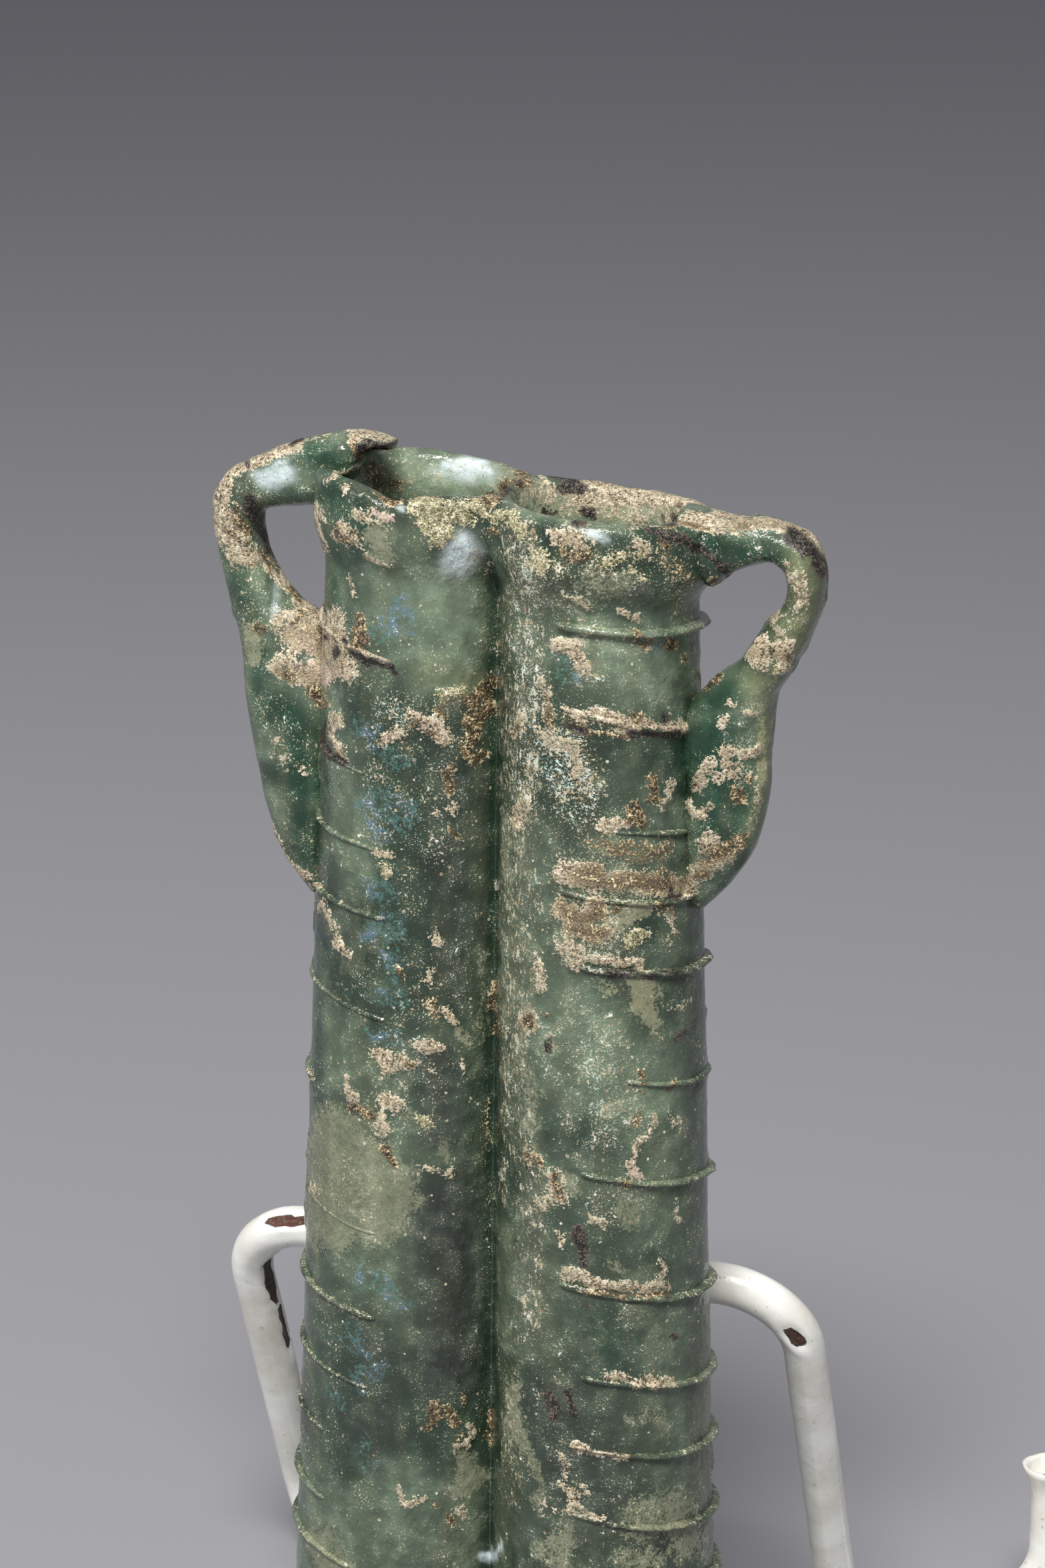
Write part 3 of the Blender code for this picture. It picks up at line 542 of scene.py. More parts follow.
# Painted shade in the crease of the seam between the tubes: its strength and how far from the seam it fades
SEAM_SHADE_STRENGTH = 0.85
SEAM_EDGES = (0.2, 1.1)
TONE_SIZES = (12.0, 4.5)    # of the wide and the close changes in the glass's tone
FIN_EDGES = (1.0, 4.0)      # how far out the handles' tails turn emerald
FIN_SIZE = 7.0
FIN_STRENGTH = 0.8
SHORE_SIZE = 6.5
SHORE_HEIGHT = 0.74
STREAK_SIZE = 1.6
STREAK_STRETCH = (1.0, 1.0, 0.13)

LATTICE_SIZE = 32
LATTICE = np.random.default_rng(11).random((LATTICE_SIZE,) * 3)


def ease(low, high, value):
    """Go smoothly from 0 to 1 as a value goes from low to high."""
    share = np.clip((value - low) / (high - low), 0.0, 1.0)
    return share * share * (3.0 - 2.0 * share)


def noise(points, size, seed, octaves=1):
    """Smooth noise from 0 to 1, with bumps about size millimetres across."""
    total = np.zeros(len(points))
    weight = 0.0
    for octave in range(octaves):
        place = points / size * 2 ** octave + 7.31 * seed + 3.7 * octave
        corner = np.floor(place).astype(int)
        share = place - corner
        share = share * share * (3.0 - 2.0 * share)
        value = np.zeros(len(points))
        for step in np.ndindex(2, 2, 2):
            near = (corner + step) % LATTICE_SIZE
            part = np.where(np.array(step) == 1, share, 1.0 - share).prod(axis=1)
            value += part * LATTICE[near[:, 0], near[:, 1], near[:, 2]]
        total += value * 0.5 ** octave
        weight += 0.5 ** octave
    return total / weight


def tube_radius(depth):
    return TUBE_RADIUS_TOP + (TUBE_RADIUS_FOOT - TUBE_RADIUS_TOP) * depth / RIM_HEIGHT


def tube_offset(depth):
    return tube_radius(depth) - WALL + SEPTUM / 2


def vessel_side(depth):
    return tube_offset(depth) + tube_radius(depth)


def valley_angle(radius, offset):
    """Angle from a tube's outer side round to the valley between the tubes."""
    return pi - np.arccos(offset / radius)


def rim_wave(x, y):
    """How far the worn rim rises and dips from its tilted plane."""
    points = np.stack([x, y, np.zeros_like(x)], axis=-1).reshape(-1, 3)
    wave = RIM_WAVE * (noise(points, RIM_WAVE_SIZE, 5, 2) - 0.5).reshape(x.shape)
    for depth, middle_x, middle_y, reach_x, reach_y in RIM_DIPS:
        wave = wave - depth * np.exp(-((x - middle_x) / reach_x) ** 2 - ((y - middle_y) / reach_y) ** 2)
    return wave


def level(x, y, depth):
    """Height of a point at a depth below the tilted rims."""
    tilt = ease(0.0, 1.0, 1.0 - depth / RIM_FALL_DEPTH)
    return RIM_HEIGHT - depth + (rim_wave(x, y) * tilt ** 2 - RIM_FALL * x * tilt)


def tint(red, green, blue):
    """A colour given as a picture shows it, from 0 to 255, as light."""
    light = [v / 3294.6 if v <= 10.31 else ((v / 255 + 0.055) / 1.055) ** 2.4 for v in (red, green, blue)]
    return (*light, 1.0)


def paint_of(red, green, blue):
    return np.array(tint(red, green, blue)[:3])


# Colours of the glass and its films
GLASS_DENSITY = 190.0       # per metre
GLASS_IOR = 1.5
GLASS_BODY = tint(176, 238, 206)
BARE_DARK = paint_of(66, 86, 70)
BARE_LIGHT = paint_of(120, 138, 116)
# Dark green of the painted shade in the seam's crease
SEAM_SHADE = paint_of(54, 78, 60)
# glow is painted light and shade is painted shade; the other tones are the glass's own colours
TONES = {
    "glow": paint_of(142, 160, 134),
    "shade": paint_of(52, 66, 53),
    "clear": paint_of(98, 108, 98),
    "olive": paint_of(132, 138, 100),
    "deep": paint_of(54, 100, 78),
}
FILM_PALE = tint(136, 142, 120)
FILM_OLIVE = tint(114, 120, 94)
HAZE_DARK = tint(126, 130, 104)
HAZE_LIGHT = tint(150, 152, 126)
TEAL = tint(94, 142, 134)
BLUE = tint(98, 132, 160)
YELLOW = tint(158, 155, 124)
# Bluish white of the painted highlights, and of one speck of pale fluff
GLINT = tint(214, 228, 230)
ROSE = tint(212, 184, 174)
# Pale teal of the painted glints in the sparkle marks
SPARKLE = tint(190, 214, 206)
PIT_DARK = tint(38, 44, 32)
BLISTER_BROWN = tint(120, 74, 42)
CHALK_SOIL = tint(132, 130, 106)
COATING_WHITE = tint(238, 238, 234)
COATING_SOILED = tint(216, 213, 203)
COATING_SPECK = tint(150, 132, 112)
WIRE_DARK = tint(34, 28, 25)
WIRE_RED = tint(112, 62, 44)
WIRE_BROWN = tint(70, 50, 40)
FLOOR_GREY = tint(144, 144, 149)
WORLD_GREY = tint(150, 151, 156)

# Colours along a grain's noise, each stop a place, red, green and blue
PEARL = (
    (0.36, 136, 120, 94), (0.44, 172, 160, 130), (0.52, 200, 190, 162), (0.60, 208, 200, 182),
    (0.70, 236, 234, 220),
)
FOIL = ((0.40, 78, 80, 54), (0.47, 134, 128, 94), (0.53, 172, 164, 126), (0.62, 244, 234, 204))
CHALK = (
    (0.47, 46, 36, 28), (0.53, 112, 97, 78), (0.58, 158, 144, 120), (0.64, 186, 172, 146),
    (0.70, 216, 203, 178), (0.76, 242, 232, 212),
)
RUST = (
    (0.48, 24, 19, 14), (0.55, 56, 45, 32), (0.61, 98, 83, 58), (0.66, 142, 124, 92),
    (0.71, 204, 186, 148), (0.77, 236, 224, 196),
)
CHAR = ((0.52, 16, 14, 13), (0.63, 46, 40, 36), (0.69, 120, 108, 94), (0.75, 70, 60, 54))

# Sizes of the glass's grain
CLOUD_SIZE = 2.6
FINE_SIZE = 0.9
GRAIN_SIZE = 0.30
DUST_SIZE = 0.15
UPRIGHT_SIZE = 0.38
BLISTER_SIZE = 0.62

# Sizes of the coating's grain
SOIL_SIZE = 9.0
SPECK_SIZE = 0.6
DIMPLE_SIZE = 2.0


def camera_axes():
    """The camera's right, up and backward directions."""
    back = Vector((sin(AZIMUTH) * cos(ELEVATION), -cos(AZIMUTH) * cos(ELEVATION), sin(ELEVATION)))
    level_right = Vector((0.0, 0.0, 1.0)).cross(back).normalized()
    level_up = back.cross(level_right)
    right = level_right * cos(ROLL) - level_up * sin(ROLL)
    return right, back.cross(right), back


def photo_place(points, normals):
    """Where points lie in the photograph, in its pixels, and how clearly it shows them."""
    right, up, back = (np.array(axis) for axis in camera_axes())
    apart = points - (np.array(LOOK_AT) + back * DISTANCE) / MM
    depth = -(apart @ back)
    scale = LENS / SENSOR * PHOTO_HEIGHT / depth
    across = PHOTO_WIDTH / 2 + scale * (apart @ right)
    down = PHOTO_HEIGHT / 2 - scale * (apart @ up)
    facing = -(apart * normals).sum(axis=1) / np.linalg.norm(apart, axis=1)
    return np.stack([across, down], axis=-1), ease(SEEN_FROM, SEEN_FULLY, facing)


def stroke_distance(place, path):
    """Distance in pixels from each place to the nearest point of a stroke's path."""
    nearest = np.full(len(place), np.inf)
    for start, end in zip(path, np.vstack([path[1:], path[-1:]])):
        run = end - start
        share = np.clip((place - start) @ run / max(run @ run, 1.0), 0.0, 1.0)
        apart = place - start - share[:, None] * run
        nearest = np.minimum(nearest, np.hypot(apart[:, 0], apart[:, 1]))
    return nearest


def brush(place, seen, marks, kinds, soft):
    """How strongly each kind of mark is painted at each place. Soft is the share of its width that fades."""
    masks = {kind: np.zeros(len(place)) for kind in kinds}
    for kind, strokes in marks.items():
        for half_width, strength, *path in strokes:
            path = np.array(path, dtype=float).reshape(-1, 2)
            margin = half_width * (1.0 + soft)
            inside = (place > path.min(axis=0) - margin) & (place < path.max(axis=0) + margin)
            near = np.flatnonzero(inside.all(axis=1) & (seen > 0.0))
            away = stroke_distance(place[near], path) / half_width
            paint = strength * (1.0 - ease(1.0 - soft, 1.0 + soft, away))
            masks[kind][near] = np.maximum(masks[kind][near], paint * seen[near])
    return masks


def stain_masks(points, place, seen, marks):
    """How much of each stain lies at each point: where the photo shows it, and elsewhere by chance."""
    stray = np.stack([noise(points, STRAY_SIZE, seed, 2) for seed in (3, 9)], axis=-1) - 0.5
    masks = brush(place + STRAY * stray, seen, marks, OUTER_MARKS, MARK_FADE)
    scatter = CHANCE_SEEN + (1.0 - CHANCE_SEEN) * (1.0 - seen)
    for kind, size, least, strength, seed in CHANCES:
        edge = CHANCE_EDGE * (noise(points, EDGE_SIZE, seed + 20, 2) - 0.5)
        chance = ease(least, least + CHANCE_EDGE, noise(points, size, seed, 2) + edge)
        masks[kind] = np.maximum(masks[kind], scatter * strength * chance)
    return masks


def body_colours(points, tones):
    """The glass's colour at each point, with the painted shade and painted light of its tones, and painted
    shade along the seam's crease.
    """
    wide, close = TONE_SIZES
    tone = 0.6 * noise(points, wide, 31) + 0.4 * noise(points, close, 32, 2)
    colour = BARE_DARK + (BARE_LIGHT - BARE_DARK) * ease(0.36, 0.64, tone)[:, None]
    for kind, paint in TONES.items():
        colour = colour + (paint - colour) * tones[kind][:, None]
    seam_shade = SEAM_SHADE_STRENGTH * (1.0 - ease(*SEAM_EDGES, np.abs(points[:, 0])))
    colour = colour + (SEAM_SHADE - colour) * seam_shade[:, None]
    return np.hstack([colour, np.ones((len(points), 1))])


def glass_masks(points, normals, marks):
    """Everything that the glass's material reads from the mesh."""
    place, seen = photo_place(points, normals)
    tones = brush(place, seen, TONE_MARKS, TONES, TONE_FADE)
    depth = np.maximum(RIM_HEIGHT - points[:, 2], 0.0)
    fin = ease(*FIN_EDGES, np.abs(points[:, 0]) - vessel_side(depth))
    unseen = FIN_STRENGTH * (1.0 - seen) * fin * ease(0.35, 0.6, noise(points, FIN_SIZE, 35))
    tones["deep"] = np.maximum(tones["deep"], unseen)
    return stain_masks(points, place, seen, marks) | {
        "shore": SHORE_HEIGHT * noise(points, SHORE_SIZE, 33, 3),
        "streak": noise(points * STREAK_STRETCH, STREAK_SIZE, 34, 2),
        "open": OPENNESS + sum(share * tones[kind] for kind, share in TONE_OPENS),
        # body holds the glass's colour together with the painted shade and painted light of the tones
        "body": body_colours(points, tones),
    }


def make_piece(name, parts, material, paint):
    """Make one object from points in millimetres and faces as lists of corners, and paint its masks on it."""
    points, faces = parts
    mesh = bpy.data.meshes.new(name)
    mesh.from_pydata(points * MM, [], faces)
    shape = bmesh.new()
    shape.from_mesh(mesh)
    bmesh.ops.recalc_face_normals(shape, faces=shape.faces)
    shape.to_mesh(mesh)
    shape.free()
    mesh.shade_smooth()
    normals = np.empty(len(points) * 3, dtype=np.float32)
    mesh.vertices.foreach_get("normal", normals)
    for kind, values in paint(points, normals.reshape(-1, 3)).items():
        values = values.astype(np.float32)
        if values.ndim == 2:
            mesh.attributes.new(kind, "FLOAT_COLOR", "POINT").data.foreach_set("color", values.ravel())
        else:
            mesh.attributes.new(kind, "FLOAT", "POINT").data.foreach_set("value", values)
    mesh.materials.append(material)
    piece = bpy.data.objects.new(name, mesh)
    bpy.context.collection.objects.link(piece)
    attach(piece, "root")
    return piece


def quads(first, second, closed=True):
    """Faces between two rows of corner numbers."""
    ends = (np.roll(first, -1), np.roll(second, -1))
    faces = np.stack([first, second, ends[1], ends[0]], axis=-1)
    return (faces if closed else faces[:-1]).tolist()


def strips(rows, closed=True):
    """Faces between each row of corner numbers and the next."""
    return [face for above, below in zip(rows, rows[1:]) for face in quads(above, below, closed)]


# Vessel
def collar_swell(depth, x, outward):
    """How far the thick collar under each rim stands out, most of all on the right tube's outer side."""
    low = np.where(x < 0.0, COLLAR_DEPTH_LEFT, COLLAR_DEPTH_RIGHT)
    bulge = np.where(x < 0.0, 0.0, COLLAR_BULGE) * np.clip(outward, 0.0, 1.0) ** 2
    return (COLLAR_SWELL + bulge) * (1.0 - ease(0.5, 1.0, depth / low))


def skin_rows(depths):
    """Points and outward directions of the outside, row by row, with the valleys filled a little."""
    depth = depths[:, None]
    offset = tube_offset(depth)
    share = np.arange(TUBE_COLUMNS)[None, :] / TUBE_COLUMNS
    sides = []
    for sign in (1.0, -1.0):
        radius = tube_radius(depth) + collar_swell(depth, sign, 0.0)
        angle = valley_angle(radius, offset) * (2.0 * share - 1.0)
        x = sign * (offset + radius * np.cos(angle))
        sides.append(np.stack([x, sign * radius * np.sin(angle)], axis=-1))
    place = np.concatenate(sides, axis=1)
    fillet = VALLEY_FILLET + RIM_FILLET * ease(0.0, 1.0, 1.0 - depth / FILLET_DEPTH)

    def beyond(sign, x, y):
        """Distance outside one tube."""
        reach = np.hypot(x - sign * offset, y)
        outward = sign * (x - sign * offset) / np.maximum(reach, 1.0)
        return reach - tube_radius(depth) - collar_swell(depth, sign, outward)

    def gap(x, y):
        one = beyond(1.0, x, y)
        two = beyond(-1.0, x, y)
        blend = np.clip(0.5 + 0.5 * (two - one) / fillet, 0.0, 1.0)
        return two + (one - two) * blend - fillet * blend * (1.0 - blend)

    step = 0.01
    for _ in range(VALLEY_ROUNDS):
        x, y = place[..., 0], place[..., 1]
        here = gap(x, y)
        slope = np.stack([gap(x + step, y) - here, gap(x, y + step) - here], axis=-1) / step
        slope /= np.maximum(np.linalg.norm(slope, axis=-1, keepdims=True), 0.3)
        place = place - slope * here[..., None]
    z = level(place[..., 0], place[..., 1], depth)
    return np.concatenate([place, z[..., None]], axis=-1), slope


def relief(points, masks):
    """How far the skin stands proud: a hand-blown wall's waves, drawn lines and lumpy crusts."""
    waves = WAVE_HEIGHT * (noise(points, WAVE_SIZE, 1, 2) - 0.5)
    drawn = DRAWN_HEIGHT * (noise(points * DRAWN_STRETCH, DRAWN_SIZE, 2, 2) - 0.5)
    lumps = noise(points, LUMP_SIZE, 4, 2)
    crust = masks["crust"] * (CRUST_HEIGHT[0] + CRUST_HEIGHT[1] * lumps)
    gold = masks["gold"] * (GOLD_HEIGHT[0] + GOLD_HEIGHT[1] * lumps)
    brown = masks["brown"] * PIT_DEPTH * (lumps - BROWN_LEVEL)
    black = masks["black"] * PIT_DEPTH * (lumps - BLACK_LEVEL)
    return waves + drawn + (crust + gold) + (brown + black)


def make_vessel(glass):
    """Both tubes in one closed mesh: outside, rounded lips, insides and foot."""
    depths = np.linspace(LIP, RIM_HEIGHT - FOOT_ROUNDING, SKIN_ROWS)
    points, outward = skin_rows(depths)
    rows, columns = points.shape[:2]
    flat = points.reshape(-1, 3)
    level_out = np.concatenate([outward, np.zeros((rows, columns, 1))], axis=-1).reshape(-1, 3)
    stains = stain_masks(flat, *photo_place(flat, level_out), OUTER_MARKS)
    push = relief(flat, stains).reshape(rows, columns)
    from_lip = ease(0.0, CALM_DEPTH, depths - LIP)[:, None]
    from_foot = ease(0.0, CALM_DEPTH, depths[-1] - depths)[:, None]
    push = push * (LIP_RELIEF + (1.0 - LIP_RELIEF) * from_lip) * from_foot
    points[..., :2] += outward * push[..., None]
    layers = [points.reshape(-1, 3)]
    numbers = np.arange(rows * columns).reshape(rows, columns)
    faces = strips(numbers)
    count = rows * columns

    def add(more):
        nonlocal count
        layers.append(more.reshape(-1, 3))
        made = np.arange(count, count + len(layers[-1]))
        count += len(made)
        return made

    # Foot
    side = vessel_side(RIM_HEIGHT)
    last = numbers[-1]
    for turn in FOOT_TURNS:
        inset = FOOT_ROUNDING * (1.0 - cos(turn))
        ring = points[-1] * (1.0 - inset / side, 1.0 - inset / TUBE_RADIUS_FOOT, 0.0)
        ring[:, 2] = FOOT_ROUNDING * (1.0 - sin(turn))
        made = add(ring)
        faces += quads(last, made)
        last = made
    for start in (0, TUBE_COLUMNS):
        half = np.roll(last, -start)[:TUBE_COLUMNS + 1]
        middle = TUBE_COLUMNS // 2
        for near in range(middle):
            far = TUBE_COLUMNS - near
            corners = [half[near], half[near + 1], half[far - 1], half[far]]
            faces.append([int(c) for c in dict.fromkeys(corners)])

    # Insides, each from the lip down
    bottom = RIM_HEIGHT - FLOOR_THICKNESS
    rounding = tube_radius(bottom) - WALL
    straight = LIP + (bottom - rounding - LIP) * np.linspace(0.0, 1.0, INNER_ROWS) ** INNER_CROWDING
    inner_depths = [*straight, *(bottom - rounding * (1.0 - sin(turn)) for turn in FLOOR_TURNS)]
    inner = []
    inner_start = count
    for sign in (1.0, -1.0):
        top_radius = tube_radius(LIP) + COLLAR_SWELL
        valley = float(valley_angle(top_radius, tube_offset(LIP)))
        outer_part = np.linspace(-valley, valley, TUBE_COLUMNS + 1)
        septum_part = np.linspace(valley, 2.0 * pi - valley, SEPTUM_COLUMNS + 1)[1:-1]
        angle = np.concatenate([outer_part, septum_part])
        previous = None
        rings = []
        for depth in inner_depths:
            below = max(0.0, depth - (bottom - rounding)) / rounding
            radius = tube_radius(min(depth, bottom - rounding)) - WALL
            radius = radius * cos(asin(min(below, 1.0)))
            radius += LIP_FLARE * float(ease(0.0, 1.0, 1.0 - depth / LIP_FLARE_DEPTH))
            x = sign * (tube_offset(depth) + radius * np.cos(angle))
            y = sign * radius * np.sin(angle)
            ring = np.stack([x, y, level(x, y, depth)], axis=-1)
            ring[:, :2] += INSIDE_WAVE * (noise(ring, INSIDE_WAVE_SIZE, 6, 2)[:, None] - 0.5)
            made = add(ring)
            if previous is not None:
                faces += quads(made, previous)
            previous = made
            rings.append(made)
        faces.append([int(c) for c in previous])
        inner.append(rings[0])
    inner_end = count

    # Lips: arcs across the wall, and across the septum between the two mouths
    everything = np.concatenate(layers)
    steps = np.arange(1, LIP_STEPS) / LIP_STEPS

    def arc(start, end):
        """Corner numbers from one edge of the lip over its crest to the other edge."""
        a, b = everything[start], everything[end]
        across = ((1.0 - np.cos(pi * steps)) / 2.0)[:, None, None]
        line = a + (b - a) * across
        line[..., 2] += (LIP * np.sin(pi * steps))[:, None] * np.ones(len(a))
        made = add(line).reshape(len(steps), len(a))
        return np.vstack([start, made, end])

    arcs = []
    for start, ring in ((0, inner[0]), (TUBE_COLUMNS, inner[1])):
        outer = np.roll(numbers[0], -start)[:TUBE_COLUMNS + 1]
        lip = arc(outer, ring[:TUBE_COLUMNS + 1])
        for above, below in zip(lip, lip[1:]):
            faces += quads(below, above, closed=False)
        arcs.append(lip)
    right_edge = np.append(inner[0][TUBE_COLUMNS:], inner[0][0])
    left_edge = np.append(inner[1][TUBE_COLUMNS:], inner[1][0])[::-1]
    ridge = arc(right_edge, left_edge)
    faces += strips(ridge, closed=False)
    everything = np.concatenate(layers)
    back = (arcs[0][:, -1], ridge[:, 0], arcs[1][::-1, 0])
    front = (arcs[1][:, -1], ridge[::-1, -1], arcs[0][::-1, 0])
    for border in (back, front):
        loop = np.concatenate([line[:-1] for line in border])
        crest = everything[[line[LIP_STEPS // 2] for line in border]].mean(axis=0)
        hub = int(add(crest[None, :])[0])
        for one, two in zip(loop, np.roll(loop, -1)):
            faces.append([int(two), int(one), hub])

    everything = np.concatenate(layers)
    inside = slice(inner_start, inner_end)
    lips = slice(inner_end, None)
    below_rim = (RIM_HEIGHT - RIM_FALL * everything[:, 0] - everything[:, 2])[inside]
    lip_marks = {kind: OUTER_MARKS[kind] + MOUTH_MARKS.get(kind, ()) for kind in OUTER_MARKS}

    def paint(points, normals):
        """Outside, lips and insides, which are darker near the rim and barer further down."""
        masks = glass_masks(points, normals, OUTER_MARKS)
        both = glass_masks(points[lips], normals[lips], lip_marks)
        inner = glass_masks(points[inside], normals[inside], MOUTH_MARKS)
        inner["open"] = inner["open"] + INSIDE_OPENS * ease(*INSIDE_CLEAR, below_rim)
        inner["open"] = inner["open"] - INSIDE_OPENS * (1.0 - ease(*INSIDE_DARK, below_rim))
        for kind in ("crust", "brown", "flake", "haze"):
            inner[kind] = inner[kind] * (1.0 - INSIDE_STAINS_FADE * ease(*INSIDE_BARE, below_rim))
        for kind, values in masks.items():
            values[inside] = inner[kind]
            values[lips] = both[kind]
        return masks

    return make_piece("glass_tubes", (everything, faces), glass, paint)


def thread_depth(turn, x):
    """Depth of the wound thread after a number of turns from the front valley."""
    place = np.clip(2.0 * (turn - QUARTER_TURN), 0.0, len(THREAD_EDGES) - 1.001)
    depth = np.interp(place, np.arange(len(THREAD_EDGES)), THREAD_EDGES) * RIM_HEIGHT
    return depth + THREAD_TILT * (x / vessel_side(depth) - 1.0)


def make_thread(glass):
    """What is left of the wound thread: half coils round the outer sides, broken off at the valleys."""
    points, faces, crusted = [], [], []
    count = 0
    for sign, half, coils in ((1.0, 0.0, RIGHT_COILS), (-1.0, 0.5, LEFT_COILS)):
        for coil, (start, end, width, height, crust) in enumerate(coils):
            angle = np.radians(np.linspace(start, end, THREAD_STEPS))
            turn = coil + half + QUARTER_TURN + angle / (2.0 * pi) * COIL_RUN
            x = sign * FIRST_X
            for _ in range(THREAD_ROUNDS):
                depth = thread_depth(turn, x)
                x = sign * (tube_offset(depth) + tube_radius(depth) * np.cos(angle))
            depth = thread_depth(turn, x)
            radius = tube_radius(depth) + collar_swell(depth, x, np.cos(angle))
            y = sign * radius * np.sin(angle)
            line = np.stack([x, y, RIM_HEIGHT - depth], axis=-1)
            line[:, 2] += THREAD_SWAY * (noise(line, THREAD_SWAY_SIZE, 8, 2) - 0.5)
            out = np.stack([sign * np.cos(angle), sign * np.sin(angle), np.zeros_like(angle)], axis=-1)
            along = np.linspace(0.0, 1.0, THREAD_STEPS)
            end_share = np.minimum(along, 1.0 - along) / THREAD_TAPER
            taper = np.sqrt(np.clip(end_share, 0.02, 1.0))
            lump = THREAD_LUMPS[0] + THREAD_LUMPS[1] * noise(line, THREAD_LUMP_SIZE, 30 + coil, 2)
            wide = 0.5 * THREAD_WIDTH * width * lump * taper
            stand = 1.0 + COIL_STAND * ease(*COIL_STAND_EDGES, np.cos(angle))
            tall = THREAD_HEIGHT * height * lump * taper * stand
            line -= out * THREAD_SUNK
            rings = []
            for step in range(THREAD_SIDES):
                around = 2.0 * pi * step / THREAD_SIDES
                ring = line + out * (tall * cos(around))[:, None]
                ring[:, 2] += wide * sin(around)
                rings.append(ring)
            block = np.stack(rings, axis=1)
            numbers = np.arange(count, count + block.size // 3).reshape(THREAD_STEPS, THREAD_SIDES)
            if sign > 0:
                numbers = numbers[:, ::-1]
            faces += strips(numbers)
            faces += [numbers[0].tolist(), numbers[-1][::-1].tolist()]
            points.append(block.reshape(-1, 3))
            crusted.append(np.full(len(points[-1]), crust))
            count += len(points[-1])
    points = np.concatenate(points)
    crusted = np.concatenate(crusted) * (THREAD_CRUST_LEAST + noise(points, THREAD_CRUST_SIZE, 12))

    def paint(points, normals):
        masks = glass_masks(points, normals, OUTER_MARKS)
        masks["crust"] = np.maximum(masks["crust"], THREAD_CRUST * crusted)
        masks["yellow"] = np.maximum(masks["yellow"], THREAD_YELLOW)
        return masks

    return make_piece("wound_thread", (points, faces), glass, paint)


def smooth_stations(stations, rows):
    """More rows along a handle, on a smooth curve through its stations."""
    table = np.array(stations)
    table = np.vstack([2 * table[0] - table[1], table, 2 * table[-1] - table[-2]])
    place = np.linspace(0.0, len(stations) - 1.0, rows)
    first = np.minimum(place.astype(int), len(stations) - 2)
    t = (place - first)[:, None]
    p0, p1, p2, p3 = (table[first + k] for k in range(4))
    return 0.5 * (2 * p1 + (p2 - p0) * t + (2 * p0 - 5 * p1 + 4 * p2 - p3) * t ** 2
                  + (3 * p1 - p0 - 3 * p2 + p3) * t ** 3)


def make_handle(name, sign, reach, tail, stations, sway, glass):
    """A drawn strap from the rim over its bend and down into a tail along the tube."""
    table = smooth_stations(stations, HANDLE_ROWS)
    edges = []
    for out, down in ((table[:, 0], table[:, 1]), (table[:, 2], table[:, 3])):
        depth = down * tail
        x = sign * (vessel_side(np.maximum(depth, 0.0)) + out * reach)
        edges.append(np.stack([x, np.zeros_like(x), RIM_HEIGHT - depth], axis=-1))
    middle = (edges[0] + edges[1]) / 2
    half = (edges[0] - edges[1]) / 2
    turn = 2.0 * pi * np.arange(HANDLE_SIDES) / HANDLE_SIDES
    along, across = (np.abs(way) ** STRAP_SQUARENESS * np.sign(way) for way in (np.cos(turn), np.sin(turn)))
    width = table[:, 5:6] + (table[:, 4:5] - table[:, 5:6]) * (along[None, :] + 1.0) / 2
    block = middle[:, None, :] + half[:, None, :] * along[None, :, None]
    block[..., 1] = across[None, :] * width * STRAP_WIDTH / 2
    share = np.linspace(0.0, 1.0, HANDLE_ROWS)
    block[..., 1] += (sway * (1.0 - ease(0.0, SWAY_SHARE, share)))[:, None]
    normal = block - middle[:, None, :]
    normal /= np.maximum(np.linalg.norm(normal, axis=-1, keepdims=True), 0.01)
    flat, normal = block.reshape(-1, 3), normal.reshape(-1, 3)
    masks = stain_masks(flat, *photo_place(flat, normal), OUTER_MARKS)
    push = relief(flat, masks) + STRAP_WAVE * (noise(flat, STRAP_WAVE_SIZE, 14, 2) - 0.5)
    flat = flat + normal * push[:, None]
    numbers = np.arange(len(flat)).reshape(HANDLE_ROWS, HANDLE_SIDES)
    if sign > 0:
        numbers = numbers[:, ::-1]
    faces = strips(numbers)
    points = [flat]
    for ring in (numbers[0], numbers[-1][::-1]):
        points.append(flat[ring].mean(axis=0)[None, :])
        hub = len(flat) + len(points) - 2
        for one, two in zip(ring, np.roll(ring, -1)):
            faces.append([int(one), int(two), hub])
    points = np.concatenate(points)

    def paint(points, normals):
        return glass_masks(points, normals, OUTER_MARKS)

    return make_piece(name, (points, faces), glass, paint)


# Wire stand
def bent_route(corners):
    """Points along a wire that runs straight from corner to corner, with a round bend at each."""
    points = [corners[0][0]]
    for (before, _), (corner, radius), (after, _) in zip(corners, corners[1:], corners[2:]):
        back = (before - corner).normalized()
        ahead = (after - corner).normalized()
        half = back.angle(ahead) / 2
        setback = radius / abs(sin(half) / cos(half))
        start = corner + back * setback
        end = corner + ahead * setback
        centre = corner + (back + ahead).normalized() * hypot(radius, setback)
        for step in range(BEND_STEPS + 1):
            arm = (start - centre).normalized().slerp((end - centre).normalized(), step / BEND_STEPS)
            points.append(centre + arm * radius)
    points.append(corners[-1][0])
    return points


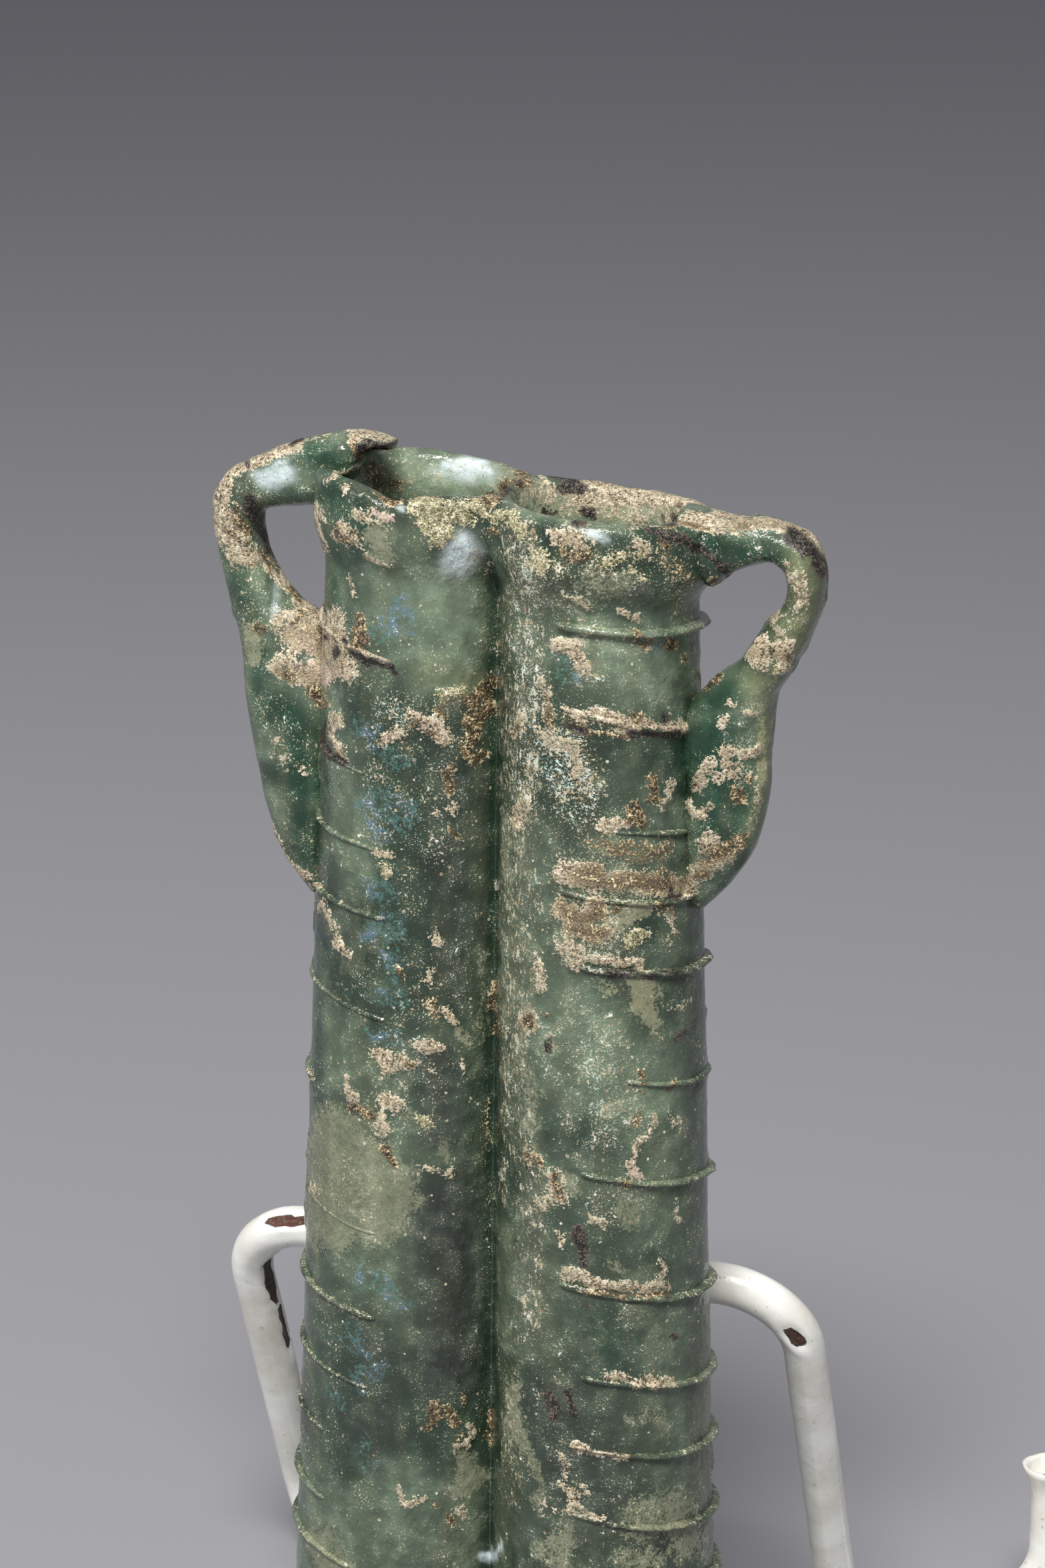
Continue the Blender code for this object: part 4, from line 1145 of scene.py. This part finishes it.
def stand_corners():
    """The wire's corners, from the upturned tip through the right leg, bar and left leg to the rail."""
    rest = WIRE_RADIUS
    flat = WIRE_RADIUS * cos(pi / WIRE_SIDES)
    bar_y = tube_radius(RIM_HEIGHT - BAR_HEIGHT) + THREAD_HEIGHT + CLEARANCE + WIRE_RADIUS
    leg_y = bar_y + LEG_SLOPE * (BAR_HEIGHT - flat)
    side = vessel_side(RIM_HEIGHT)
    right = side + RIGHT_LEG_GAP
    left = -side - LEFT_LEG_GAP
    rail = -side - LEFT_RAIL_GAP
    front = -tube_radius(RIM_HEIGHT) - THREAD_HEIGHT - CLEARANCE - WIRE_RADIUS
    tip_x = right + TIP_OUT
    tip_y = leg_y + TIP_BACK
    return [
        (Vector((tip_x, tip_y, TIP_HEIGHT)), 0.0),
        (Vector((tip_x, tip_y, rest)), FLOOR_BEND),
        (Vector((right, leg_y, rest)), FLOOR_BEND),
        (Vector((right, bar_y, BAR_HEIGHT)), BAR_BEND),
        (Vector((left, bar_y, BAR_HEIGHT)), BAR_BEND),
        (Vector((left, leg_y, rest)), FLOOR_BEND),
        (Vector((rail, leg_y - RAIL_RETURN, rest)), FLOOR_BEND),
        (Vector((rail, front, rest)), FLOOR_BEND),
        (Vector((right, front, rest)), FLOOR_BEND),
        (Vector((right, leg_y - WIRE_END_GAP, rest)), 0.0),
    ]


def even_line(points, spacing):
    """Points at even spacing along a line."""
    line = np.array([tuple(p) for p in points])
    length = np.concatenate([[0.0], np.cumsum(np.linalg.norm(np.diff(line, axis=0), axis=1))])
    places = np.linspace(0.0, length[-1], int(length[-1] / spacing) + 1)
    return np.stack([np.interp(places, length, line[:, axis]) for axis in range(3)], axis=-1)


def make_stand(coating):
    """The coated wire, with the chips in its coating sunk a little below it."""
    line = even_line(bent_route(stand_corners()), COATING_SPACING)
    tangent = np.gradient(line, axis=0)
    tangent /= np.linalg.norm(tangent, axis=1, keepdims=True)
    side = np.zeros_like(line)
    side[-1] = np.cross(tangent[-1], (0.0, 0.0, 1.0))
    for index in range(len(line) - 2, -1, -1):
        carried = side[index + 1] - tangent[index] * side[index + 1].dot(tangent[index])
        side[index] = carried / np.linalg.norm(carried)
    normal = np.cross(side, tangent)
    away = np.linalg.norm(line - line[0], axis=1)
    flare = TIP_FLARE * np.clip(1.0 - away / TIP_FLARE_LENGTH, 0, 1) ** TIP_FLARE_CURVE
    flare[TIP_FLARE_RINGS:] = 0.0
    hollow = line[0] - (0.0, 0.0, TIP_HOLLOW)
    rings = [
        (hollow, WIRE_RADIUS * TIP_FLOOR_WIDTH, 0),
        (hollow, WIRE_RADIUS * TIP_HOLLOW_WIDTH, 0),
        (line[0] - (0.0, 0.0, TIP_EDGE), WIRE_RADIUS + TIP_FLARE - TIP_LIP, 0),
        (line[0], WIRE_RADIUS + TIP_FLARE - TIP_LIP * 0.5, 0),
        *((line[k], WIRE_RADIUS + flare[k], k) for k in range(len(line))),
        (line[-1] + tangent[-1] * WIRE_END_ROUNDING, WIRE_RADIUS * WIRE_END_WIDTH, len(line) - 1),
    ]
    turn = 2.0 * pi * np.arange(COATING_SIDES) / COATING_SIDES
    blocks = []
    for centre, radius, k in rings:
        blocks.append(centre + (side[k] * np.sin(turn)[:, None] + normal[k] * np.cos(turn)[:, None]) * radius)
    block = np.array(blocks)
    block[..., 2] = np.maximum(block[..., 2], 0.0)
    points = block.reshape(-1, 3)
    chip = np.zeros(len(points))
    rim = np.zeros(len(points))
    red = np.zeros(len(points))
    wobble = CHIP_WOBBLE * (noise(points, CHIP_WOBBLE_SIZE, 17, 2) - 0.5)
    for x, y, z, long, wide, redness in CHIPS:
        ahead = tangent[np.argmin(np.linalg.norm(line - (x, y, z), axis=1))]
        apart = points - (x, y, z)
        run = apart @ ahead
        beside = np.linalg.norm(apart - run[:, None] * ahead, axis=1)
        apart = np.hypot(run / long, beside / wide) + wobble
        here = 1.0 - ease(*CHIP_EDGES, apart)
        chip = np.maximum(chip, here)
        rim = np.maximum(rim, ease(*CHIP_RISE, apart) * (1.0 - ease(*CHIP_FALL, apart)))
        red = np.where(here > 0.05, redness, red)
    middle = np.repeat([centre for centre, _, _ in rings], COATING_SIDES, axis=0)
    out = points - middle
    out /= np.maximum(np.linalg.norm(out, axis=1, keepdims=True), 0.01)
    rise = COATING_WAVE * (noise(points, COATING_WAVE_SIZE, 18, 2) - 0.5) + CHIP_RIM * rim - CHIP_DEPTH * chip
    points = points + out * rise[:, None]
    points[:, 2] = np.maximum(points[:, 2], 0.0)
    numbers = np.arange(len(points)).reshape(len(rings), COATING_SIDES)
    faces = []
    for above, below in zip(numbers, numbers[1:]):
        faces += quads(below, above)
    faces.append(numbers[0].tolist())
    faces.append(numbers[-1][::-1].tolist())

    def paint(points, normals):
        return {"chip": chip, "red": red}

    return make_piece("coated_wire", (points, faces), coating, paint)


# Materials
class Finish:
    """A material's nodes, put together with a few short calls. Places are in millimetres."""

    def __init__(self, name):
        self.material = bpy.data.materials.new(name)
        self.material.use_nodes = True
        self.tree = self.material.node_tree
        self.shader = self.tree.nodes["Principled BSDF"]
        place = self.tree.nodes.new("ShaderNodeTexCoord").outputs["Object"]
        self.place = self.vector("SCALE", place, scale=1000.0)

    def link(self, socket, value):
        if isinstance(value, bpy.types.NodeSocket):
            self.tree.links.new(value, socket)
        else:
            socket.default_value = value

    def node(self, kind, **settings):
        made = self.tree.nodes.new(kind)
        for name, value in settings.items():
            setattr(made, name, value)
        return made

    def vector(self, operation, first, second=None, scale=None):
        made = self.node("ShaderNodeVectorMath", operation=operation)
        self.link(made.inputs[0], first)
        if second is not None:
            self.link(made.inputs[1], second)
        if scale is not None:
            self.link(made.inputs["Scale"], scale)
        return made.outputs[0]

    def math(self, operation, first, second, clamp=False):
        made = self.node("ShaderNodeMath", operation=operation, use_clamp=clamp)
        self.link(made.inputs[0], first)
        self.link(made.inputs[1], second)
        return made.outputs[0]

    def times(self, first, second):
        return self.math("MULTIPLY", first, second)

    def most(self, first, *more):
        for value in more:
            first = self.math("MAXIMUM", first, value)
        return first

    def total(self, *parts):
        """The sum of values that are each given with a weight."""
        whole = None
        for value, weight in parts:
            part = self.times(value, weight)
            whole = part if whole is None else self.math("ADD", whole, part)
        return whole

    def placed(self, size, seed, stretch):
        place = self.vector("MULTIPLY", self.place, tuple(s / size for s in stretch))
        return self.vector("ADD", place, (seed * 5.3, seed * 3.1, seed * 7.7))

    def noise(self, size, seed, detail, stretch=(1.0, 1.0, 1.0)):
        """Noise with bumps about size millimetres across, longer where stretch is under 1."""
        made = self.node("ShaderNodeTexNoise")
        self.link(made.inputs["Vector"], self.placed(size, seed, stretch))
        made.inputs["Scale"].default_value = 1.0
        made.inputs["Detail"].default_value = detail
        return made.outputs["Fac"]

    def cells(self, size, seed):
        """Grains about size millimetres apart: distance from a grain's middle and two chances for each."""
        made = self.node("ShaderNodeTexVoronoi")
        self.link(made.inputs["Vector"], self.placed(size, seed, (1.0, 1.0, 1.0)))
        made.inputs["Scale"].default_value = 1.0
        apart = self.node("ShaderNodeSeparateColor")
        self.link(apart.inputs[0], made.outputs["Color"])
        return made.outputs["Distance"], apart.outputs[0], apart.outputs[2]

    def step(self, low, high, value):
        made = self.node("ShaderNodeMapRange", interpolation_type="SMOOTHSTEP")
        self.link(made.inputs["Value"], value)
        made.inputs["From Min"].default_value = low
        made.inputs["From Max"].default_value = high
        return made.outputs["Result"]

    def mix(self, share, first, second):
        made = self.node("ShaderNodeMix", data_type="RGBA")
        self.link(made.inputs[0], share)
        self.link(made.inputs[6], first)
        self.link(made.inputs[7], second)
        return made.outputs[2]

    def ramp(self, value, *stops):
        """Colours along a value, each stop given as its place, red, green and blue."""
        made = self.node("ShaderNodeValToRGB")
        self.link(made.inputs[0], value)
        points = made.color_ramp.elements
        while len(points) < len(stops):
            points.new(0.5)
        for point, (place, *colour) in zip(points, stops):
            point.position = place
            point.color = tint(*colour)
        return made.outputs["Color"]

    def mask(self, name):
        return self.node("ShaderNodeAttribute", attribute_name=name).outputs["Fac"]

    def set(self, name, value):
        self.link(self.shader.inputs[name], value)

    def bump(self, height):
        """Relief from a height in millimetres."""
        made = self.node("ShaderNodeBump")
        made.inputs["Strength"].default_value = 1.0
        made.inputs["Distance"].default_value = MM
        self.link(made.inputs["Height"], height)
        self.set("Normal", made.outputs["Normal"])


def glass_finish():
    """Weathered green glass: see-through where it is bare, under films, flakes, crusts, beads and pits."""
    f = Finish("weathered_glass")
    cloud = f.noise(CLOUD_SIZE, 2, 3.0)
    fine = f.noise(FINE_SIZE, 3, 4.0)
    grain = f.noise(GRAIN_SIZE, 4, 2.0)
    dust = f.noise(DUST_SIZE, 6, 1.0)
    upright = f.noise(UPRIGHT_SIZE, 5, 2.0, stretch=(1.0, 1.0, 0.45))
    bubble, chance, hue = f.cells(BLISTER_SIZE, 9)
    shore = f.total((f.mask("shore"), 1.0), (fine, 0.16), (cloud, 0.10))
    streak = f.mask("streak")

    # Bare glass, with the painted shade and painted light of its tones, its thin films, and painted
    # highlights
    light = f.math("ADD", f.total((cloud, 0.7), (fine, 0.3), (grain, 0.2)), 0.4)
    body = f.node("ShaderNodeAttribute", attribute_name="body").outputs["Color"]
    colour = f.vector("SCALE", body, scale=light)
    colour = f.mix(f.times(f.step(0.63, 0.65, shore), 0.30), colour, FILM_PALE)
    colour = f.mix(f.times(f.step(0.50, 0.68, streak), 0.30), colour, FILM_OLIVE)
    edge = f.math("SUBTRACT", f.total((fine, 1.2), (grain, 1.4), (dust, 0.8)), 1.7)

    def ragged(name, low=0.44, high=0.54, reach=1.0):
        """A mask with a grainy edge that stays near the mark."""
        grains = f.step(low, high, f.math("ADD", f.mask(name), f.times(edge, reach)))
        return f.times(grains, f.step(0.05, 0.30, f.mask(name)))

    powder = f.step(0.10, 0.60, f.total((grain, 0.5), (dust, 0.5)))
    haze = f.times(ragged("haze", 0.26, 0.66, 0.8), powder)
    veil = f.mix(f.step(0.36, 0.64, f.total((streak, 0.5), (fine, 0.5))), HAZE_DARK, HAZE_LIGHT)
    colour = f.mix(f.times(haze, 0.9), colour, veil)
    broken = f.step(0.40, 0.60, f.total((fine, 0.5), (grain, 0.5)))
    blue = f.times(ragged("blue", 0.30, 0.85), broken)
    colour = f.mix(f.times(blue, 0.72), colour, f.mix(f.step(0.46, 0.58, cloud), TEAL, BLUE))
    yellow = ragged("yellow", 0.30, 0.75, 1.2)
    colour = f.mix(f.times(yellow, 0.65), colour, YELLOW)
    # Painted highlights: a bluish white painted where light glints on the glass, grainy with fine noise; one
    # mark is a speck of fluff
    sheen = f.step(0.10, 0.60, f.total((fine, 0.5), (dust, 0.5)))
    painted_highlight_and_fluff = f.times(f.step(0.0, 1.0, f.mask("painted_highlight_and_fluff")), sheen)
    colour = f.mix(painted_highlight_and_fluff, colour, GLINT)
    colour = f.mix(f.times(f.step(0.2, 0.6, f.mask("flake")), 0.15), colour, FILM_PALE)

    # Flakes: specks and chips in crowds, an upright band beside the seam, and painted glints
    pearl = f.ramp(fine, *PEARL)
    # Where sparkle marks lie, the flakes take a pale teal as painted glints
    pearl = f.mix(f.times(f.mask("sparkle"), f.step(0.40, 0.90, hue)), pearl, SPARKLE)
    stained = f.most(f.mask("crust"), f.mask("brown"), f.mask("gold"))
    crowd = f.total((f.step(0.42, 0.62, cloud), 0.07), (f.mask("flake"), 0.05),
                    (f.mask("sparkle"), 0.07), (f.mask("lively"), 0.07), (stained, 0.12))
    specks = f.step(0.74, 0.77, f.math("ADD", grain, crowd))
    coarse = f.total((fine, 0.60), (grain, 0.40))
    chips = f.step(0.74, 0.76, f.math("ADD", coarse, f.times(crowd, 0.9)))
    band = f.times(f.step(0.58, 0.64, f.total((upright, 0.65), (dust, 0.35), (crowd, 0.45))),
                   f.step(0.20, 0.50, f.mask("flake")))
    # Painted glints: bright specks in the flakes' colours where light would sparkle
    glints = f.times(f.step(0.66, 0.72, f.total((dust, 0.92), (crowd, 1.0))), 0.8)
    pits = f.step(0.33, 0.26, f.total((dust, 0.8), (grain, 0.2)))
    colour = f.mix(f.times(pits, 0.5), colour, PIT_DARK)
    flakes_and_glints = f.most(specks, chips, band, glints)
    colour = f.mix(flakes_and_glints, colour, pearl)

    # Round blisters, some of them with a brown middle
    reach = f.total((bubble, 1.0), (grain, 0.35))
    many = f.total((f.mask("lively"), 0.10), (f.mask("flake"), 0.03))
    chosen = f.math("GREATER_THAN", f.math("ADD", many, 0.015), chance)
    blister = f.times(chosen, f.step(0.47, 0.40, reach))
    middle = f.times(f.step(0.36, 0.26, reach), f.step(0.45, 0.5, hue))
    colour = f.mix(blister, colour, f.mix(middle, pearl, BLISTER_BROWN))

    # Gold of small bubbles
    gold = ragged("gold")
    foil = f.ramp(f.total((dust, 0.45), (grain, 0.35), (fine, 0.20)), *FOIL)
    colour = f.mix(f.times(gold, 0.9), colour, foil)

    # Crusts, brown pits and charred places, all of them granular
    mottle = f.total((dust, 0.40), (grain, 0.45), (fine, 0.35))
    crust = ragged("crust")
    soiled = f.times(f.step(0.46, 0.62, f.total((cloud, 0.7), (fine, 0.3))), 0.4)
    chalk = f.mix(soiled, f.ramp(mottle, *CHALK), CHALK_SOIL)
    chalk = f.mix(f.times(f.mask("rose"), 0.5), chalk, ROSE)
    colour = f.mix(crust, colour, chalk)
    brown = ragged("brown")
    colour = f.mix(brown, colour, f.ramp(mottle, *RUST))
    black = ragged("black")
    colour = f.mix(black, colour, f.ramp(mottle, *CHAR))
    f.set("Base Color", colour)

    opaque = f.most(crust, brown, black, f.times(gold, 0.9), f.times(flakes_and_glints, 0.9), blister)
    # The films and the painted highlights shut the glass to light, so that their colour shows
    film_and_highlight = f.most(f.times(haze, 0.6), f.times(yellow, 0.7), f.times(blue, 0.3), f.times(painted_highlight_and_fluff, 0.9))
    shut = f.math("SUBTRACT", 1.0, f.most(opaque, film_and_highlight))
    clear = f.math("SUBTRACT", f.mask("open"), f.times(f.step(0.40, 0.60, cloud), 0.16))
    f.set("Transmission Weight", f.math("MULTIPLY", clear, shut, clamp=True))
    rough = f.total((opaque, 0.28), (cloud, 0.22), (fine, 0.10))
    f.set("Roughness", f.math("ADD", rough, 0.0, clamp=True))
    f.shader.inputs["IOR"].default_value = GLASS_IOR

    lumpy = f.math("ADD", f.times(f.most(stained, f.mask("black"), f.mask("sparkle")), 0.13), 0.03)
    f.bump(f.total((cloud, 0.30), (fine, 0.15), (f.times(grain, lumpy), 1.0), (f.times(dust, lumpy), 0.6)))
    depth = f.node("ShaderNodeVolumeAbsorption")
    depth.inputs["Color"].default_value = GLASS_BODY
    depth.inputs["Density"].default_value = GLASS_DENSITY
    f.link(f.tree.nodes["Material Output"].inputs["Volume"], depth.outputs["Volume"])
    return f.material


def coating_finish():
    """White plastic coating, a little soiled, with the bare wire dark in its chips."""
    f = Finish("white_coating")
    soil = f.noise(SOIL_SIZE, 1, 4.0)
    speck = f.noise(SPECK_SIZE, 2, 2.0)
    colour = f.mix(f.step(0.35, 0.7, soil), COATING_WHITE, COATING_SOILED)
    colour = f.mix(f.times(f.step(0.68, 0.74, speck), 0.5), colour, COATING_SPECK)
    bare = f.mix(f.mask("red"), WIRE_DARK, WIRE_RED)
    bare = f.mix(f.step(0.5, 0.7, speck), bare, WIRE_BROWN)
    chip = f.step(0.35, 0.5, f.mask("chip"))
    colour = f.mix(chip, colour, bare)
    f.set("Base Color", colour)
    f.set("Roughness", f.math("ADD", f.times(chip, 0.3), f.times(soil, 0.4), clamp=True))
    f.bump(f.total((f.noise(DIMPLE_SIZE, 4, 3.0), 0.08), (f.times(speck, chip), 0.30)))
    return f.material


def plain_finish(name, colour, roughness):
    f = Finish(name)
    f.shader.inputs["Base Color"].default_value = colour
    f.shader.inputs["Roughness"].default_value = roughness
    return f.material


# Studio
def make_floor():
    half = FLOOR_SIZE / 2
    mesh = bpy.data.meshes.new("floor")
    corners = [(-half, -half, 0), (half, -half, 0), (half, half, 0), (-half, half, 0)]
    mesh.from_pydata(corners, [], [(0, 1, 2, 3)])
    floor = bpy.data.objects.new("floor", mesh)
    bpy.context.collection.objects.link(floor)
    mesh.materials.append(plain_finish("pale_floor", FLOOR_GREY, 0.7))


def make_lamp(name, place, size, watts, colour):
    """A soft lamp that faces the vessel."""
    data = bpy.data.lights.new(name, "AREA")
    data.shape = "RECTANGLE"
    data.size, data.size_y = size
    data.energy = watts
    data.color = colour
    lamp = bpy.data.objects.new(name, data)
    lamp.location = place
    lamp.rotation_euler = (LIT_PLACE - Vector(place)).to_track_quat("-Z", "Y").to_euler()
    bpy.context.collection.objects.link(lamp)


def make_studio():
    world = bpy.data.worlds.new("studio")
    world.use_nodes = True
    back = world.node_tree.nodes["Background"]
    back.inputs["Color"].default_value = WORLD_GREY
    back.inputs["Strength"].default_value = WORLD_STRENGTH
    bpy.context.scene.world = world
    for lamp in LAMPS:
        make_lamp(*lamp)
    bpy.context.scene.view_settings.view_transform = "Standard"


def make_camera():
    right, up, back = camera_axes()
    data = bpy.data.cameras.new("camera")
    data.lens = LENS
    data.sensor_fit = "VERTICAL"
    data.sensor_height = SENSOR
    data.clip_start = 0.01
    camera = bpy.data.objects.new("camera", data)
    turned = Matrix((right, up, back)).transposed().to_4x4()
    camera.matrix_world = Matrix.Translation(LOOK_AT + back * DISTANCE) @ turned
    bpy.context.collection.objects.link(camera)
    bpy.context.scene.camera = camera


def main():
    glass = glass_finish()
    coating = coating_finish()
    tubes = make_vessel(glass)
    thread = make_thread(glass)
    left = make_handle("left_handle", -1.0, LEFT_REACH, LEFT_TAIL, LEFT_STATIONS, LEFT_SWAY, glass)
    right = make_handle("right_handle", 1.0, RIGHT_REACH, RIGHT_TAIL, RIGHT_STATIONS, 0.0, glass)
    for piece in (tubes, thread, left, right):
        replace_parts(piece, "double_unguentarium")
    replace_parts(make_stand(coating), "wire_stand")
    make_floor()
    make_studio()
    make_camera()


main()
